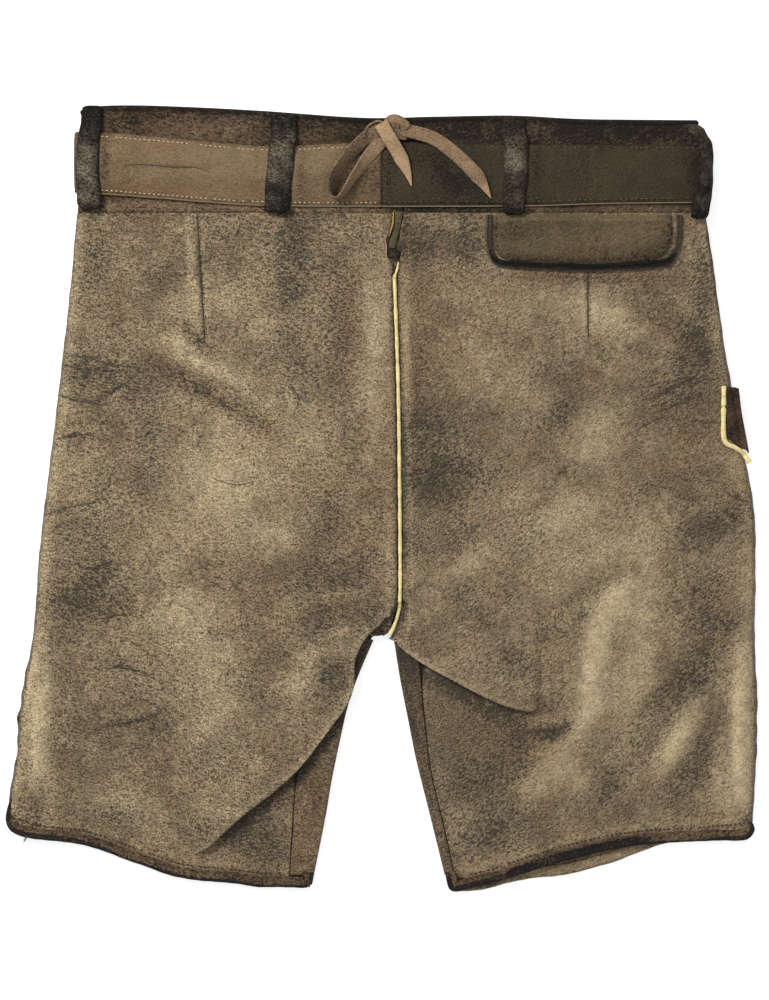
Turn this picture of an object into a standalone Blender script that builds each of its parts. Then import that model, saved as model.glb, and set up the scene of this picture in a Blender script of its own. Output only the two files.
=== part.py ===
"""Short leather lederhosen laid flat with their back up.

Tables and shapes are in millimetres, with X to the right, Y towards the waist and Z up from
the surface they lie on. The meshes are made in metres, moved so that the origin is the middle
of the outline on that surface.
"""

import bpy
import numpy as np

# Driving sizes
LEATHER = 1.6
GAP = 0.3
BELT_THICK = 2.6
LACE_WIDTH = 10.0
LACE_THICK = 1.5
PIPING_WIDTH = 3.0
BINDING_WIDTH = 8.0
EDGE_RADIUS = 2.2
CENTRE = (0.35, -2.0)

# Heights of the stack at the waist: front belt, front band, back band, back belt, loops
BAND_LOW = BELT_THICK + GAP
BAND_HIGH = 6.6
BAND_MIDDLE = (BAND_LOW + BAND_HIGH) / 2
BAND_RADIUS = (BAND_HIGH - BAND_LOW) / 2

# Height of the back panels above the surface where nothing lifts them
LYING_HIGH = 2 * EDGE_RADIUS

# Outlines, from the waist down to the hem
SIDE_LEFT = [(-219, 203.5), (-225, 141), (-235, 55), (-245.5, -32), (-249.5, -85), (-251.5, -118),
             (-260, -147), (-263.5, -190), (-268.5, -219), (-270.3, -231.6)]
SIDE_RIGHT = [(233.5, 203.5), (239, 170), (247, 112), (252, 83), (258, 48), (265.5, 11.5), (269.5, -17),
              (270, -60), (269.5, -104), (271.2, -147), (270.5, -190), (269, -237)]
SEAM_CENTRE = [(11, 167), (10.2, 148), (12.6, 69), (13.8, -46), (13.2, -78), (10.4, -91), (6, -101)]
NOTCH_LEFT = [(8.3, 203.5), (7.4, 192), (3.6, 184), (4.4, 173), (9.1, 167)]
NOTCH_RIGHT = [(16.6, 203.5), (13.4, 187), (15, 178), (12.9, 167)]
FOLD_LEFT = [(2, -87), (-13, -101), (-21, -118), (-23.5, -143), (-42.5, -171), (-60.5, -194),
             (-78.5, -211), (-98, -226), (-117, -243), (-137, -262)]
FOLD_RIGHT = [(9.4, -103), (26, -116), (48, -129), (81, -146), (101.5, -152.6), (116, -154)]
INSEAM_LEFT = [(-60.5, -194), (-62, -212), (-63.5, -232), (-66, -273.2)]
INSEAM_RIGHT = [(28, -120), (30, -145), (35.7, -196), (45.4, -238), (53, -273.2)]
INNER_LEFT = [(-5.5, -104), (-17.3, -132), (-24, -152), (-29.5, -176), (-35.3, -204), (-40.3, -233),
              (-48.3, -273.2)]
INNER_RIGHT = [(9.4, -105), (13.7, -132), (19.4, -161), (25.2, -190), (32.4, -219), (39.6, -248),
               (45.8, -273.2)]
TUCK_LEFT = [(-12, -101), (-20, -115), (-28, -138), (-45, -171), (-59.5, -192.5)]
TUCK_RIGHT = [(16, -104), (22.5, -109), (27, -117.5)]
HEM_LEFT = [(-269, -241), (-242, -248), (-213, -252), (-184, -262), (-159, -271), (-141, -276),
            (-105, -279.5), (-87, -282), (-66, -282), (-51, -281.7)]
HEM_RIGHT = [(268, -245), (235, -248.6), (200, -250.6), (172, -253.5), (143, -260), (114.5, -268),
             (89, -276.5), (64, -283), (47.5, -281.5)]
HEM_FRONT_RIGHT = [(266, -243.5), (235, -246.5), (204, -251), (183, -258.5), (165, -265), (147, -270),
                   (129, -274), (111, -275.5), (93, -279), (70, -284.6), (48.5, -283.5)]

# Seam of the front panels below: x, and the heights of its points down to the legs
FRONT_SEAM = {"x": 2.0, "heights": [203.2, 100, 0, -70], "foot": -90.0, "spread": 1.5}
FRONT_INSET = 1.4

# Raised folds: line, which side stands high, rise, width of the drop, reach of the rise
FOLDS = [
    {"line": FOLD_LEFT, "high": -1, "rise": 5.5, "drop": 6.0, "reach": 34.0},
    {"line": FOLD_RIGHT, "high": 1, "rise": 4.6, "drop": 7.0, "reach": 40.0},
]

# The cloth's roll at the sides, and its rise towards the belt
SIDE_ROLL = {"rise": 3.4, "reach": 9.0, "below": 150.0, "soft": 60.0}
BELT_RISE = {"above": 150.0, "soft": 45.0}

# Soft ridges of the cloth: line, height, half width
RIDGES = [
    {"line": [(159, -92), (152, -125), (146, -165), (135, -190), (110, -206)], "height": 4.5, "width": 17.0},
    {"line": [(252, -155), (254, -195), (255, -232)], "height": 3.0, "width": 9.0},
    {"line": [(-150, -60), (-128, -110), (-118, -160), (-124, -205)], "height": 2.6, "width": 24.0},
    {"line": [(-245, -140), (-250, -180), (-252, -218)], "height": 2.4, "width": 9.0},
    {"line": [(70, 30), (120, -30), (190, -70)], "height": 2.2, "width": 30.0},
    {"line": [(-90, 96), (-60, 60), (-30, 0)], "height": 2.0, "width": 26.0},
]

# The drop front's flap, under the front panels' upper middle
FLAP = {"half_width": 86.0, "low": 58.0, "high": 203.0, "corner": 14.0, "margin": 26.0, "soft": 22.0}

# Waist: half-width of the folded band at each side, and the edges across it
SIDES = {
    "left": {"sign": -1, "band_low": 217.0, "band_high": 214.5, "belt": 216.4},
    "right": {"sign": 1, "band_low": 228.0, "band_high": 219.0, "belt": 232.6},
}
BAND_TOP = [(-217, 278), (-200, 281), (-159, 281), (-87, 277.5), (-15, 272.5), (39, 273.2), (93, 274),
            (147, 271.5), (222, 270.7)]
BAND_FOOT = [(-218, 204), (230, 204)]
BELT_TOP = [(-221, 262), (-200, 261.5), (-155, 258), (-87, 252), (-35, 253.4), (18, 255.4), (86, 253.4),
            (222, 252.5), (237, 252)]
BELT_FOOT = [(-221, 218), (-200, 217), (-155, 213.6), (-87, 208.8), (6, 208), (107, 208.4), (158, 210),
             (237, 211)]
BELT_SEAM = 0.5
BUCKLE = {"width": 46.0, "low": 205.5, "high": 257.0, "corner": 7.0}

# Belt loops: left and right edge, foot and top edge
LOOPS = [
    {"left": -217.5, "right": -200.5, "foot": 208.0, "top": 280.0},
    {"left": -82.5, "right": -64.0, "foot": 203.6, "top": 275.6},
    {"left": 86.0, "right": 103.5, "foot": 202.0, "top": 272.6},
    {"left": 222.0, "right": 238.5, "foot": 200.5, "top": 268.0},
]

# Where a loop steps down behind the belt's top edge: the step's foot, its top, and the tail above it
LOOP_STEP = {"foot": 3.2, "top": 4.6, "tail": 1.2}

# Seat pocket: the flap's outline from its waist edge, and the bound edge round it
POCKET = {"left": 81.0, "right": 208.5, "top": 202.4}
POCKET_FOOT = [(81, 180), (88, 171.5), (114.5, 169.5), (143, 168.2), (172, 168.6), (198, 171), (208.5, 182)]
POCKET_EDGE = [(77.8, 202.3), (77.6, 182), (83, 169), (100, 166.4), (143, 164.4), (172, 165), (200, 167.3),
               (209, 171), (214, 183), (214.5, 202.3)]
POCKET_EDGE_WIDTH = 5.2
POCKET_EDGE_HIGH = 2.4

# Knife pocket at the right side: its two long edges, and the piping along its mouth
KNIFE_LEFT = [(248.6, 79), (248.6, 60), (249.4, 41.8)]
KNIFE_RIGHT = [(257.6, 77.5), (259.6, 60), (262.8, 43), (265, 31)]
KNIFE_PIPING_HIGH = 2.0
KNIFE_PIPING = [(246.5, 79), (246.3, 60), (246.3, 44), (248.6, 37.8), (255, 34.5), (261, 30.5), (265.2, 24)]

# Centre piping: how deep it sits in the seam, and how proud of it
PIPING_SUNK, PIPING_PROUD = 1.3, 0.4

# Hem bindings of the back panels: how far below the panel they start, and their height over the leather
HEM_SUNK, HEM_PROUD = 0.5, 1.1

# Waist notch: the strap's route, width and thickness, and the rolled bar's ends, depth and height
TONGUE = {"route": [(12.5, 203), (10.8, 193), (8.8, 184), (8.6, 179.6)], "width": 5.2, "thick": 1.3}
NOTCH_BAR = {"left": 6.4, "right": 13.6, "y": 174.6, "z": 6.4, "deep": 3.5, "high": 1.5}

# Free lace: routes with the height of each point, and the knot they leave
LACE_LONG = [(12.5, 264.0, 12.6), (17.5, 262.6, 12.2), (26.4, 260.6, 11.6), (34.6, 258.2, 11.3),
             (42.1, 254.4, 11.0), (49.5, 248.9, 10.9), (57.8, 241.8, 10.8), (65.2, 234.4, 10.7),
             (71, 227.8, 10.7), (75.1, 221.2, 10.7), (79, 213.9, 10.7)]
LACE_SHORT = [(-0.1, 267.3, 16.2), (3.6, 261.0, 15.7), (7.8, 253.8, 14.6), (13.9, 243.5, 12.6),
              (18.9, 232.7, 11.2), (22.0, 222.6, 10.6)]
LACE_BOW = [(3.4, 259.0, 11.0), (-3.4, 250.9, 11.2), (-10.8, 241.8, 12.2), (-18.3, 231.1, 13.4),
            (-24.9, 221.2, 14.4), (-29.0, 215.6, 14.9), (-32.6, 213.9, 15.0), (-35.8, 216.6, 15.0),
            (-36.2, 223.6, 14.8), (-32.6, 232.6, 14.6), (-25.7, 241.8, 14.2), (-18.3, 250.3, 13.6),
            (-10.8, 257.2, 13.0), (-4.2, 261.6, 13.2), (1.5, 263.5, 13.6)]
KNOT = {"left": -1.9, "right": 12.4, "y": 265.4, "z": 10.4, "deep": 6.4, "high": 3.4}


def smooth_line(points, count):
    """A Catmull-Rom curve through the points, cut into even steps along its length."""
    given = np.asarray(points, float)
    ends = np.vstack([2 * given[0] - given[1], given, 2 * given[-1] - given[-2]])
    t = np.linspace(0, 1, 12, endpoint=False)[:, None]
    runs = []
    for before, start, end, after in zip(ends, ends[1:], ends[2:], ends[3:]):
        linear = (end - before) * t
        square = (2 * before - 5 * start + 4 * end - after) * t**2
        cube = (3 * start - before - 3 * end + after) * t**3
        runs.append(0.5 * (2 * start + linear + square + cube))
    fine = np.vstack(runs + [given[-1:]])
    steps = np.linalg.norm(np.diff(fine, axis=0), axis=1)
    length = np.concatenate([[0], np.cumsum(steps)])
    even = np.linspace(0, length[-1], count)
    return np.column_stack([np.interp(even, length, column) for column in fine.T])


def joined(*lines):
    """Lines end to end, each one's first point left out where it repeats the last."""
    return np.vstack([lines[0]] + [line[1:] for line in lines[1:]])


def across(line):
    """Unit vectors to the left of a line's direction at each of its points."""
    along = np.gradient(line[:, :2], axis=0)
    along /= np.linalg.norm(along, axis=1)[:, None]
    return np.column_stack([-along[:, 1], along[:, 0]])


def beside(line, x, y):
    """Signed distance from a line, positive on its left, and the share of it passed (0 to 1)."""
    distance = np.full(np.shape(x), 1e9)
    signed = np.zeros(np.shape(x))
    share = np.zeros(np.shape(x))
    for i, (a, b) in enumerate(zip(line, line[1:])):
        step = b - a
        along = ((x - a[0]) * step[0] + (y - a[1]) * step[1]) / (step @ step)
        along = np.clip(along, 0, 1)
        dx = x - a[0] - along * step[0]
        dy = y - a[1] - along * step[1]
        away = np.hypot(dx, dy)
        nearer = away < distance
        distance = np.where(nearer, away, distance)
        left = np.where(step[0] * dy - step[1] * dx >= 0, 1.0, -1.0)
        signed = np.where(nearer, away * left, signed)
        share = np.where(nearer, (i + along) / (len(line) - 1), share)
    return signed, share


def ease(value):
    """0 below 0, 1 above 1, and a smooth rise between."""
    held = np.clip(value, 0, 1)
    return held * held * (3 - 2 * held)


def front_lift(x, y):
    """How far the front panels' outer face is off the surface: over the flap and at the belt."""
    beyond_x = np.maximum(np.abs(x) - FLAP["half_width"], 0)
    beyond_y = np.maximum(FLAP["low"] - y, 0)
    over_flap = 1 - ease((np.hypot(beyond_x, beyond_y) - FLAP["margin"]) / FLAP["soft"])
    at_belt = ease((y - BELT_RISE["above"]) / BELT_RISE["soft"])
    return np.maximum((LEATHER + GAP) * over_flap, BAND_LOW * at_belt)


def lying_top(x, y):
    """Top of the layer that lies uppermost, without its overhanging folds."""
    high = LYING_HIGH + front_lift(x, y) * (BAND_HIGH - LYING_HIGH) / BAND_LOW
    for side in (SIDE_LEFT, SIDE_RIGHT):
        inside = np.abs(beside(np.array(side, float), x, y)[0]) / SIDE_ROLL["reach"]
        roll = inside * np.exp(1 - inside)
        high = high + SIDE_ROLL["rise"] * roll * ease((SIDE_ROLL["below"] - y) / SIDE_ROLL["soft"])
    for ridge in RIDGES:
        away, share = beside(smooth_line(ridge["line"], 12), x, y)
        swell = np.exp(-((away / ridge["width"]) ** 2)) * np.sin(np.pi * np.clip(share, 0.04, 0.96))
        high = high + ridge["height"] * swell
    return high


def back_top(x, y):
    """Top of the back panels: the lying height and the folds' rise, dropping across each fold line."""
    high = lying_top(x, y)
    for fold in FOLDS:
        away, share = beside(smooth_line(fold["line"], 24), x, y)
        away = away * fold["high"]
        drop = ease(away / fold["drop"] + 1)
        fade = np.exp(-((np.maximum(away, 0) / fold["reach"]) ** 2))
        taper = ease((1 - share) / 0.35) * ease(0.65 + share / 0.1)
        high = high + fold["rise"] * drop * fade * taper
    return high


def patch(outer, inner, top, foot):
    """A grid between four lines: rows from top to foot, columns from outer to inner."""
    v = np.linspace(0, 1, len(outer))[:, None, None]
    u = np.linspace(0, 1, len(top))[None, :, None]
    sides = (1 - u) * outer[:, None] + u * inner[:, None]
    ends = (1 - v) * top[None] + v * foot[None]
    corners = (1 - u) * ((1 - v) * outer[0] + v * outer[-1]) + u * ((1 - v) * inner[0] + v * inner[-1])
    return sides + ends - corners


def between(start, end, count):
    """Even points on the straight line from start to end."""
    return np.linspace(start, end, count)


def material(name, colour, roughness, metallic=0.0):
    made = bpy.data.materials.get(name) or bpy.data.materials.new(name)
    made.use_nodes = True
    shader = made.node_tree.nodes["Principled BSDF"]
    shader.inputs["Base Color"].default_value = (*colour, 1)
    shader.inputs["Roughness"].default_value = roughness
    shader.inputs["Metallic"].default_value = metallic
    return made


def add_mesh(name, points, faces, finish):
    """A mesh object of points in millimetres, moved to the origin and put in metres."""
    moved = np.asarray(points, float).reshape(-1, 3) - (*CENTRE, 0)
    mesh = bpy.data.meshes.new(name)
    mesh.from_pydata((moved / 1000).tolist(), [], faces)
    mesh.update()
    mesh.materials.append(finish)
    mesh.shade_smooth()
    mesh.set_sharp_from_angle(angle=0.6)
    made = bpy.data.objects.new(name, mesh)
    bpy.context.scene.collection.objects.link(made)
    return made


def quads(index, turned=False):
    """Faces of a grid of point numbers, turned over when asked."""
    corners = np.stack([index[:-1, :-1], index[1:, :-1], index[1:, 1:], index[:-1, 1:]], axis=-1)
    if turned:
        corners = corners[..., ::-1]
    return corners.reshape(-1, 4).tolist()


def sheet(name, faces, points, finish, thickness=LEATHER):
    """A wall of even thickness behind a surface."""
    made = add_mesh(name, points, faces, finish)
    wall = made.modifiers.new("Wall", "SOLIDIFY")
    wall.thickness = thickness / 1000
    wall.offset = -1
    return made


def sweep(name, route, side, up, profile, finish, widths=None):
    """A closed profile of (side, up) points carried along a route, with flat ends."""
    scale = np.ones(len(route)) if widths is None else widths
    rings = (
        route[:, None]
        + side[:, None] * profile[None, :, :1] * scale[:, None, None]
        + up[:, None] * profile[None, :, 1:]
    )
    count = len(profile)
    index = np.arange(rings.shape[0] * count).reshape(-1, count)
    looped = np.column_stack([index, index[:, 0]])
    faces = quads(looped)
    faces.append(index[0].tolist())
    faces.append(index[-1][::-1].tolist())
    return add_mesh(name, rings, faces, finish)


def strap_profile(width, low, high, edge=0.45):
    """A flat section with its upper corners cut, listed so that its faces point out."""
    half = width / 2
    return np.array([
        (-half, low), (-half, high - edge), (-half + edge, high), (half - edge, high),
        (half, high - edge), (half, low),
    ])


def flat_strip(name, line, width, low, high, finish):
    """A strip along a line on the cloth, its foot and its top given as heights at each point."""
    route = np.column_stack([line, (low + high) / 2])
    side = np.column_stack([across(line), np.zeros(len(line))])
    up = np.tile([0.0, 0.0, 1.0], (len(line), 1))
    half = float(np.mean(high - low)) / 2
    return sweep(name, route, side, up, strap_profile(width, -half, half), finish)


def cross_bar(name, bar, sides, finish, widths=None):
    """An oval bar from left to right, with its number of sides."""
    line = between((bar["left"], bar["y"], bar["z"]), (bar["right"], bar["y"], bar["z"]), 6)
    turn = np.linspace(0, 2 * np.pi, sides, endpoint=False)
    oval = np.column_stack([bar["deep"] * np.cos(turn), -bar["high"] * np.sin(turn)])
    side = np.tile([0.0, 1.0, 0.0], (len(line), 1))
    up = np.tile([0.0, 0.0, 1.0], (len(line), 1))
    return sweep(name, line, side, up, oval, finish, widths)


def across_waist(line, x):
    """The height on the garment of an edge line at x."""
    table = np.array(line, float)
    return np.interp(x, table[:, 0], table[:, 1])


def folded_band(name, side, turns, start, end, edges, out, thickness, finish):
    """A band from start on the back, round one side, to end on the front."""
    sign = side["sign"]
    radius = BAND_RADIUS + out
    share = np.array([0.0, 0.5, 1.0])[:, None]
    turn = turns[0] + (turns[1] - turns[0]) * share
    run = np.linspace(0, 1, 6)[None]
    angle = np.linspace(0, np.pi, 9)[None, 1:-1]
    back_x = start + (sign * turn - start) * run
    side_x = sign * (turn + radius * np.sin(angle))
    front_x = end + (sign * turn - end) * (1 - run)
    x = np.hstack([back_x, side_x, front_x])
    level = np.concatenate([np.ones(6), np.cos(angle[0]), -np.ones(6)])
    z = np.broadcast_to(BAND_MIDDLE + radius * level, x.shape)
    top = across_waist(edges[0], x)
    y = top + (across_waist(edges[1], x) - top) * share
    index = np.arange(x.size).reshape(x.shape)
    return sheet(name, quads(index, sign < 0), np.dstack([x, y, z]), finish, thickness)


def plate(name, outline, low, high, finish):
    """A flat piece with an outline, listed anticlockwise, between two heights."""
    count = len(outline)
    foot = np.column_stack([outline, np.full(count, low)])
    top = np.column_stack([outline, np.full(count, high)])
    numbers = np.arange(count)
    turned = np.roll(numbers, -1)
    faces = np.column_stack([numbers, turned, turned + count, numbers + count]).tolist()
    faces.append(numbers[::-1].tolist())
    faces.append((numbers + count).tolist())
    return add_mesh(name, np.vstack([foot, top]), faces, finish)


def round_corners(left, right, low, high, corner, top_corner):
    """An outline of a rectangle, anticlockwise, with its lower and upper corners rounded."""
    points = []
    spots = [(right, low, corner, -90, (-1, 1)), (right, high, top_corner, 0, (-1, -1)),
             (left, high, top_corner, 90, (1, -1)), (left, low, corner, 180, (1, 1))]
    for x, y, radius, start, inward in spots:
        angles = np.radians(np.linspace(start, start + 90, 6))
        centre = np.array([x, y]) + np.array(inward) * radius
        points.append(centre + radius * np.column_stack([np.cos(angles), np.sin(angles)]))
    return np.vstack(points)


def back_panel(name, side, inner, foot, turned, finish):
    top = between(side[0], inner[0], len(foot))
    plan = patch(side, inner, top, foot)
    points = np.dstack([plan, back_top(plan[..., 0], plan[..., 1])])
    index = np.arange(plan.shape[0] * plan.shape[1]).reshape(plan.shape[:2])
    return sheet(name, quads(index, turned), points, finish)


def front_panel(name, side, middle, edge, towards, seam, foot, turned, finish):
    """The lower layer, and its wrap over the inner edge of the leg up to the inseam."""
    radius = lying_top(edge[:, 0], edge[:, 1]) / 2
    floor_edge = edge - towards * radius[:, None]
    inner = joined(middle, floor_edge)
    top = between(side[0], inner[0], len(foot))
    plan = patch(side, inner, top, foot)
    floor = np.dstack([plan, front_lift(plan[..., 0], plan[..., 1])])
    angles = np.radians([-60, -30, 0, 30, 60, 90])
    arc_plan = floor_edge[:, None] + (towards * radius[:, None])[:, None] * np.cos(angles)[None, :, None]
    arc_high = radius[:, None] * (1 + np.sin(angles)[None])
    run = np.array([0.33, 0.67, 1.0])[None, :, None]
    run_plan = floor_edge[:, None] * (1 - run) + seam[:, None] * run
    run_high = lying_top(run_plan[..., 0], run_plan[..., 1])
    wrap = np.concatenate([np.dstack([arc_plan, arc_high]), np.dstack([run_plan, run_high])], axis=1)
    rows, columns = plan.shape[:2]
    index = np.arange(rows * columns).reshape(rows, columns)
    start = rows - len(edge)
    wrap_index = index.size + np.arange(wrap.shape[0] * wrap.shape[1]).reshape(wrap.shape[:2])
    wrap_index = np.column_stack([index[start:, -1], wrap_index])
    points = np.vstack([floor.reshape(-1, 3), wrap.reshape(-1, 3)])
    return sheet(name, quads(index, turned) + quads(wrap_index, turned), points, finish)


def build_panels():
    """Two back panels on top of two front panels, parted by the seams."""
    hide = material("panel_leather", (0.20, 0.16, 0.105), 0.85)
    under = material("front_leather", (0.19, 0.15, 0.10), 0.85)
    gap = np.array([GAP * 0.8, 0])
    beside_piping = np.array([PIPING_WIDTH / 2 + 1.5 * GAP, 0])
    inset = np.array([FRONT_INSET, 0])
    upper, lower, columns = 24, 13, 16

    seam = smooth_line(SEAM_CENTRE, 60)
    notch = {"left": NOTCH_LEFT, "right": NOTCH_RIGHT}
    panels = {
        "left": (SIDE_LEFT, -1, FOLD_LEFT[1:5], INSEAM_LEFT, HEM_LEFT[:-1]),
        "right": (SIDE_RIGHT, 1, FOLD_RIGHT[:2], INSEAM_RIGHT, HEM_RIGHT[:-1]),
    }
    for word, (outer, sign, lip, inseam, hem) in panels.items():
        stitched = seam + sign * beside_piping
        above = joined(smooth_line(notch[word], 12), stitched)
        above = smooth_line(above[::3], upper)
        below = joined(smooth_line([above[-1], *lip, inseam[0] + sign * gap], 7),
                       smooth_line(np.array(inseam) + sign * gap, lower - 6))
        inner = joined(above, below)
        foot_line = smooth_line(hem, columns)
        foot_line = foot_line - sign * across(foot_line) * (BINDING_WIDTH + GAP)
        foot_line[-1] = inner[-1]
        side = smooth_line([*outer[:-1], foot_line[0]], upper + lower - 1)
        back_panel("back_" + word, side, inner, foot_line, sign > 0, hide)

    wraps = {
        "left": (SIDE_LEFT, -1, INNER_LEFT, TUCK_LEFT, INSEAM_LEFT, HEM_LEFT),
        "right": (SIDE_RIGHT, 1, INNER_RIGHT, TUCK_RIGHT, INSEAM_RIGHT, HEM_FRONT_RIGHT),
    }
    upper, lower, columns = 9, 12, 13
    for word, (outer, sign, inner_edge, tuck, inseam, hem) in wraps.items():
        edge = smooth_line(inner_edge, lower)
        middle_x = FRONT_SEAM["x"] + sign * GAP / 2
        start = edge[0] + np.array([sign * EDGE_RADIUS, 0])
        middle = [(middle_x, y) for y in FRONT_SEAM["heights"]]
        middle.append((middle_x + sign * FRONT_SEAM["spread"], FRONT_SEAM["foot"]))
        middle = smooth_line([*middle, start], upper + 1)
        tucked = smooth_line(tuck, 5 if word == "left" else 3)
        sewn = smooth_line(np.array(inseam) - sign * gap, lower - len(tucked) + 1)
        seam_line = joined(tucked, sewn)
        foot_line = smooth_line(hem, columns)
        foot_line = foot_line - sign * across(foot_line) * (BINDING_WIDTH + 5 * GAP)
        side = smooth_line([*(np.array(outer[:-1]) - sign * inset), foot_line[0]], upper + lower)
        towards = -sign * across(edge)
        foot_line[-1] = edge[-1] - towards[-1] * EDGE_RADIUS
        front_panel("front_" + word, side, middle, edge, towards, seam_line, foot_line, sign < 0, under)


def build_waist():
    """Two waistband halves meeting at the notch, and the belt in two lengths with its buckle."""
    band = material("waistband_leather", (0.10, 0.075, 0.05), 0.8)
    belt_light = material("belt_leather_light", (0.16, 0.115, 0.07), 0.75)
    belt_dark = material("belt_leather_dark", (0.11, 0.09, 0.06), 0.75)
    metal = material("buckle_metal", (0.30, 0.26, 0.19), 0.45, 0.9)
    starts = {"left": NOTCH_LEFT[0][0], "right": NOTCH_RIGHT[0][0]}
    belts = {"left": belt_light, "right": belt_dark}
    buckle_side = BUCKLE["width"] / 2 + GAP
    for word, side in SIDES.items():
        sign = side["sign"]
        band_turns = (side["band_high"], side["band_low"])
        folded_band("waistband_" + word, side, band_turns, starts[word], FRONT_SEAM["x"] + sign * GAP / 2,
                    (BAND_TOP, BAND_FOOT), 0.0, LEATHER, band)
        belt_turns = (side["belt"], side["belt"])
        folded_band("belt_" + word, side, belt_turns, BELT_SEAM + sign * GAP / 2, sign * buckle_side,
                    (BELT_TOP, BELT_FOOT), GAP + BELT_THICK, BELT_THICK, belts[word])
    outline = round_corners(-BUCKLE["width"] / 2, BUCKLE["width"] / 2, BUCKLE["low"], BUCKLE["high"],
                            BUCKLE["corner"], BUCKLE["corner"])
    plate("belt_buckle", outline, 0.0, BELT_THICK, metal)


def build_loops():
    """Four loops sewn to the waistband above the belt and lying over it."""
    leather = material("loop_leather", (0.05, 0.042, 0.034), 0.7)
    over_belt = 2 * GAP + BELT_THICK
    for number, loop in enumerate(LOOPS, 1):
        x = np.linspace(loop["left"], loop["right"], 6)[None]
        middle = (loop["left"] + loop["right"]) / 2
        belt_top = across_waist(BELT_TOP, middle)
        step_foot, step_top = belt_top + LOOP_STEP["foot"], belt_top + LOOP_STEP["top"]
        tail = np.linspace(loop["top"], step_top + LOOP_STEP["tail"], 3)
        y = np.concatenate([tail, [step_top, step_foot], np.linspace(belt_top, loop["foot"], 5)])[:, None]
        out = LEATHER + np.where(y > step_foot, GAP, over_belt)
        side = SIDES["left"] if middle < 0 else SIDES["right"]
        past = np.maximum(side["sign"] * x - side["belt"], 0)
        radius = BAND_RADIUS + out
        angle = past / (BAND_RADIUS + over_belt + LEATHER)
        flat = np.minimum(side["sign"] * x, side["belt"])
        run = side["sign"] * (flat + radius * np.sin(angle))
        z = BAND_MIDDLE + radius * np.cos(angle)
        points = np.dstack(np.broadcast_arrays(run, y + 0 * x, z))
        index = np.arange(points.shape[0] * points.shape[1]).reshape(points.shape[:2])
        sheet(f"belt_loop_{number}", quads(index), points, leather)


def build_pocket():
    """The seat pocket's flap and its bound edge, lying on the right back panel."""
    leather = material("pocket_flap_leather", (0.12, 0.095, 0.065), 0.85)
    bound = material("pocket_edge_leather", (0.03, 0.025, 0.02), 0.6)
    left_side = between((POCKET["left"], POCKET["top"]), POCKET_FOOT[0], 5)
    right_side = between((POCKET["right"], POCKET["top"]), POCKET_FOOT[-1], 5)
    top = between(left_side[0], right_side[0], 12)
    plan = patch(left_side, right_side, top, smooth_line(POCKET_FOOT, 12))
    high = back_top(plan[..., 0], plan[..., 1]) + GAP + LEATHER
    index = np.arange(high.size).reshape(high.shape)
    sheet("pocket_flap", quads(index), np.dstack([plan, high]), leather)
    line = smooth_line(POCKET_EDGE, 24)
    on_panel = back_top(line[:, 0], line[:, 1]) + 2 * GAP
    flat_strip("pocket_edge", line, POCKET_EDGE_WIDTH, on_panel, on_panel + POCKET_EDGE_HIGH, bound)


def build_knife_pocket():
    """The small knife pocket at the right side, with piping at its mouth."""
    leather = material("knife_pocket_leather", (0.07, 0.045, 0.03), 0.8)
    piping = material("piping_leather", (0.62, 0.50, 0.24), 0.6)
    left_side = smooth_line(KNIFE_LEFT, 6)
    right_side = smooth_line(KNIFE_RIGHT, 6)
    plan = patch(left_side, right_side, between(left_side[0], right_side[0], 4),
                 between(left_side[-1], right_side[-1], 4))
    high = back_top(plan[..., 0], plan[..., 1]) + 2 * GAP + LEATHER
    index = np.arange(high.size).reshape(high.shape)
    sheet("knife_pocket", quads(index), np.dstack([plan, high]), leather)
    line = smooth_line(KNIFE_PIPING, 14)
    on_panel = back_top(line[:, 0], line[:, 1]) + 2 * GAP
    flat_strip("knife_piping", line, PIPING_WIDTH, on_panel, on_panel + KNIFE_PIPING_HIGH, piping)


def build_trims():
    """The piping of the centre seam, the bound hems, and the pieces in the waist notch."""
    piping = material("piping_leather", (0.62, 0.50, 0.24), 0.6)
    bound = material("hem_leather", (0.035, 0.027, 0.02), 0.6)
    strap = material("notch_leather", (0.14, 0.13, 0.09), 0.75)
    line = smooth_line(SEAM_CENTRE, 34)
    on_panel = back_top(line[:, 0], line[:, 1])
    low, high = on_panel - PIPING_SUNK, on_panel + PIPING_PROUD
    flat_strip("centre_piping", line, PIPING_WIDTH - GAP, low, high, piping)
    hems = {
        "hem_back_left": (HEM_LEFT, 1, True), "hem_back_right": (HEM_RIGHT, -1, True),
        "hem_front_left": (HEM_LEFT, 1, False), "hem_front_right": (HEM_FRONT_RIGHT, -1, False),
    }
    for name, (hem, inward, upper) in hems.items():
        edge = smooth_line(hem, 20)
        line = edge + across(edge) * inward * BINDING_WIDTH / 2
        if upper:
            low = lying_top(line[:, 0], line[:, 1]) - LEATHER - HEM_SUNK
            high = low + LEATHER + HEM_PROUD
        else:
            low = np.zeros(len(line))
            high = low + LEATHER + GAP
        flat_strip(name, line, BINDING_WIDTH, low, high, bound)
    tongue = smooth_line(TONGUE["route"], 8)
    foot = np.full(len(tongue), BAND_HIGH - LEATHER)
    flat_strip("notch_tongue", tongue, TONGUE["width"], foot, foot + TONGUE["thick"], strap)
    cross_bar("notch_bar", NOTCH_BAR, 8, bound, np.array([0.6, 0.9, 1.0, 1.0, 0.9, 0.6]))


def build_front_flap():
    """The drop front's flap, the lowest layer below the belt."""
    leather = material("front_leather", (0.19, 0.15, 0.10), 0.85)
    outline = round_corners(-FLAP["half_width"], FLAP["half_width"], FLAP["low"], FLAP["high"],
                            FLAP["corner"], 1.0)
    plate("front_flap", outline, 0.0, LEATHER, leather)


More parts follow.
